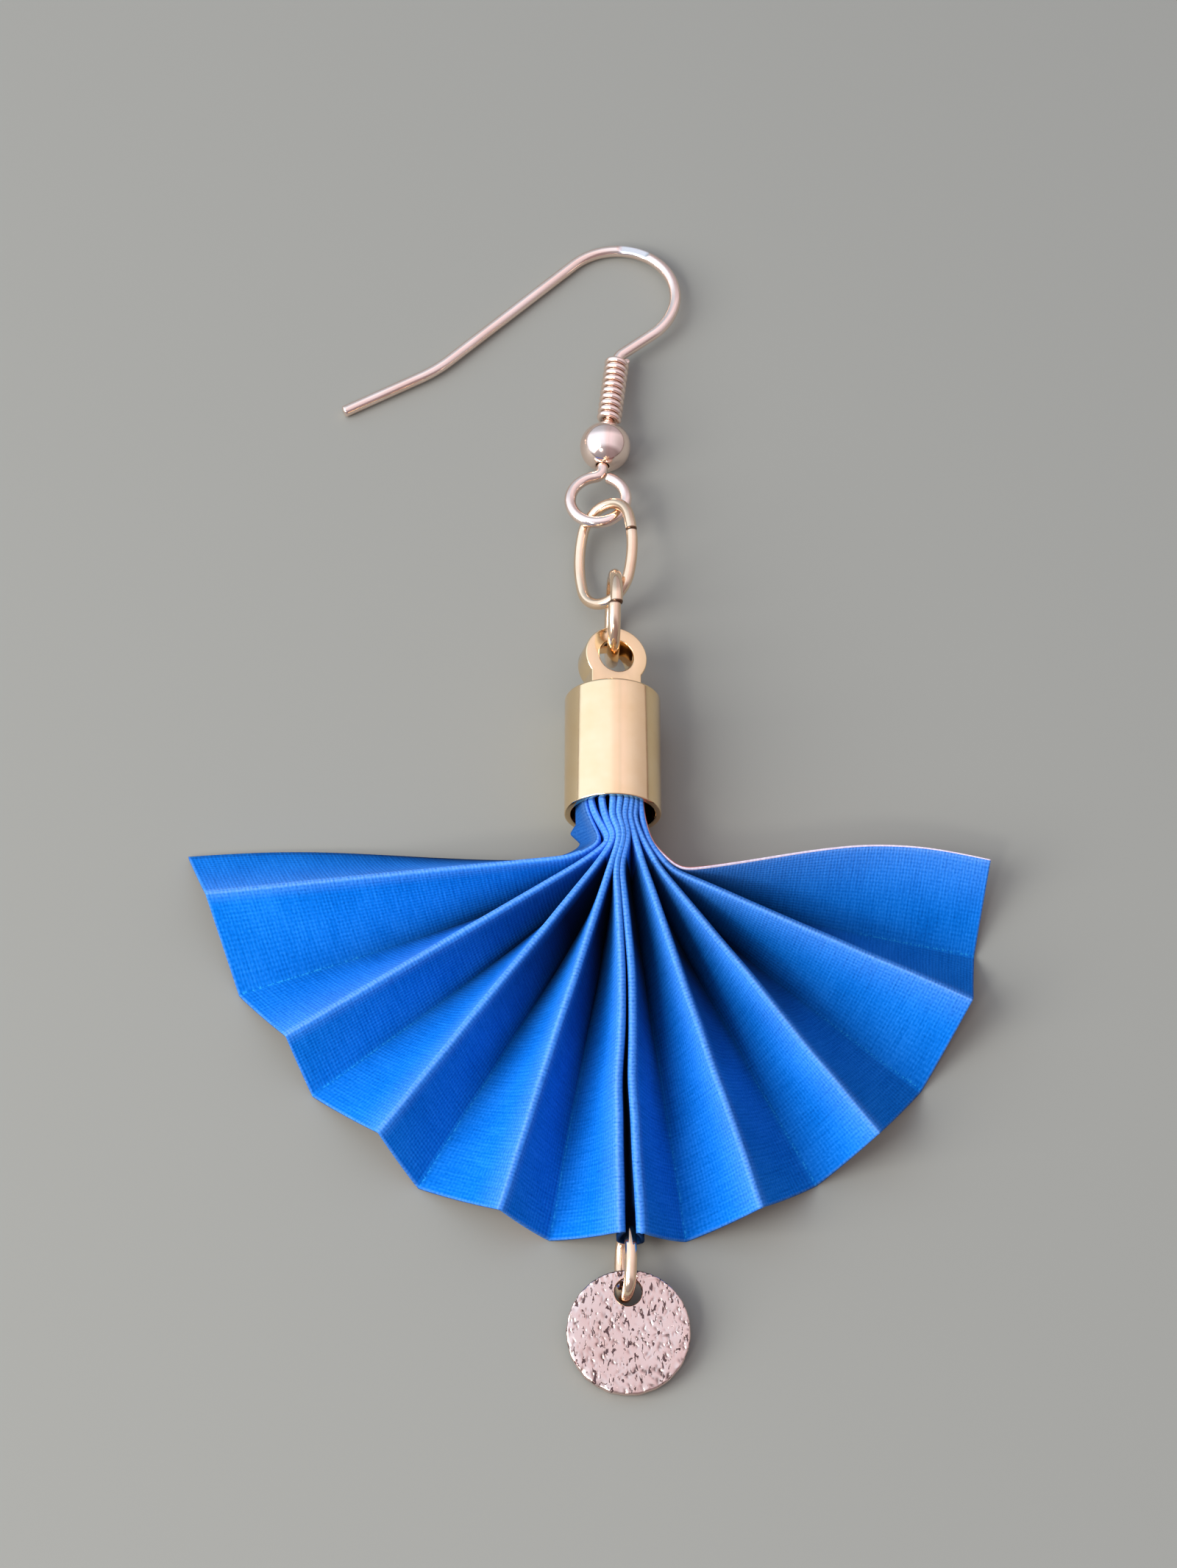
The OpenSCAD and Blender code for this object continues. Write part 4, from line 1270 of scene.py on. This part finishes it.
def cloth_face():
    """The blue side of the cloth."""
    made, tree, shader = node_material("blue plain weave")
    flat = flat_place(tree)

    def calc(operation, *values):
        """One step of arithmetic on values and outputs."""
        node = add_node(tree, "Math")
        node.operation = operation
        for socket, value in zip(node.inputs, values):
            if isinstance(value, bpy.types.NodeSocket):
                tree.links.new(value, socket)
            else:
                socket.default_value = value
        return node.outputs[0]

    def weighed(*parts):
        """The sum of outputs, each times its weight."""
        total = calc("MULTIPLY", *parts[0])
        for part in parts[1:]:
            total = calc("ADD", total, calc("MULTIPLY", *part))
        return total

    def band(name, reach_mm, power):
        """1 where a distance is none, falling to 0 at reach_mm."""
        near = calc("SUBTRACT", 1.0, calc("DIVIDE", point_value(tree, name), reach_mm))
        return calc("POWER", calc("MAXIMUM", near, 0.0), power)

    axes = add_node(tree, "SeparateXYZ", Vector=flat)
    warp, weft = (calc("SINE", calc("MULTIPLY", axes.outputs[axis], math.pi / THREAD)) for axis in "XY")
    crossing = calc("MULTIPLY", calc("ADD", warp, weft), 0.5)
    blotch, fleck = noise(tree, flat, 0.35, 5), noise(tree, flat, 7.5, 3)
    drawn_out = add_node(tree, "Mapping", Vector=flat, Scale=(0.5, 6.0, 1.0))
    slub = noise(tree, drawn_out.outputs["Vector"], 1.0, 2)
    blue = ramp(tree, weighed((crossing, 0.08), (fleck, 0.50), (slub, 0.30), (blotch, 0.30)), BLUES)

    # The pale band along the ridges is part wear and part painted highlight; the band along the rim is wear.
    crest = calc("MULTIPLY", band("ridge_mm", 0.44, 1.2), 0.90)
    flank = calc("MULTIPLY", band("ridge_mm", 2.4, 2.0), 0.42)
    brim = calc("MULTIPLY", band("rim_mm", 0.12, 1.0), 0.6)
    wear_and_highlight = calc("MAXIMUM", calc("MAXIMUM", crest, flank), brim)
    wear_and_highlight = calc("MULTIPLY", wear_and_highlight, weighed((fleck, 1.2), (crossing, 0.22)))
    worn = mixed(tree, wear_and_highlight, blue, WORN_AND_LIT_BLUE)
    broken = calc("GREATER_THAN", calc("MULTIPLY", point_value(tree, "crease"), fleck), 0.5)
    worn = mixed(tree, calc("MULTIPLY", broken, 0.5), worn, CREASE_BLUE)
    # Painted shade: the colour darkens towards a near black blue by each point's stored shade in the folds.
    shade = calc("MULTIPLY", point_value(tree, "painted_shade"), 0.985)
    threads = bumped(tree, calc("ADD", crossing, fleck), 0.35, 0.03 * MM)
    join(tree, shader, Base_Color=mixed(tree, shade, worn, PAINTED_SHADE_BLUE), Roughness=0.8, Normal=threads)
    join(tree, shader, Specular_IOR_Level=0.03)
    join(tree, shader, Sheen_Weight=0.02, Sheen_Roughness=0.5, Sheen_Tint=(0.3, 0.6, 1.0))
    return made


blue_cloth = cloth_face()
print("nodes in the blue cloth:", len(blue_cloth.node_tree.nodes))


# %% [markdown]
# The strip is lined with coral cloth, which shows only at its edges, and a cut edge shows pale threads. In
# the middle fold the underside takes the blue finish instead of coral, and with it the painted shade of the
# slit.

# %% Backing and edges
def plain_cloth(name, low, high):
    """A matt cloth with fine flecks in the flat measure."""
    made, tree, shader = node_material(name)
    flecks = ramp(tree, noise(tree, flat_place(tree), 7, 4), [(0.3, low), (0.7, high)])
    join(tree, shader, Base_Color=flecks, Roughness=0.85)
    return made


cloth.data.materials.append(blue_cloth)
cloth.data.materials.append(plain_cloth("coral backing", (0.55, 0.16, 0.13), (0.72, 0.27, 0.22)))
cloth.data.materials.append(plain_cloth("cut edge", (0.62, 0.50, 0.60), (0.80, 0.72, 0.80)))
FACE, BACKING, CUT_EDGE = 0, 1, 2
face_of, back_of = np.full((columns - 1, rows - 1), FACE), np.full((columns - 1, rows - 1), BACKING)
face_of[-4:] = CUT_EDGE
# Painted shade: the underside in the middle fold gets the blue finish, which is painted near black there.
back_of[slit_panels] = FACE
edge_of = np.full((2, rows - 1), CUT_EDGE)
left_y = middle[0, :-1, 1]
below_tooth = (left_y < tooth_y - 0.35 * MM) & (left_y > tooth_y - 1.1 * MM) & (past[:-1] < NECK_PAST)
edge_of[0, below_tooth] = BACKING
surface_of = [face_of.ravel(), back_of.ravel(), np.full(len(end_walls), FACE), edge_of.ravel()]
cloth.data.polygons.foreach_set("material_index", np.concatenate(surface_of).astype(np.int32))
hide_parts("fan")
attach(cloth, "root")
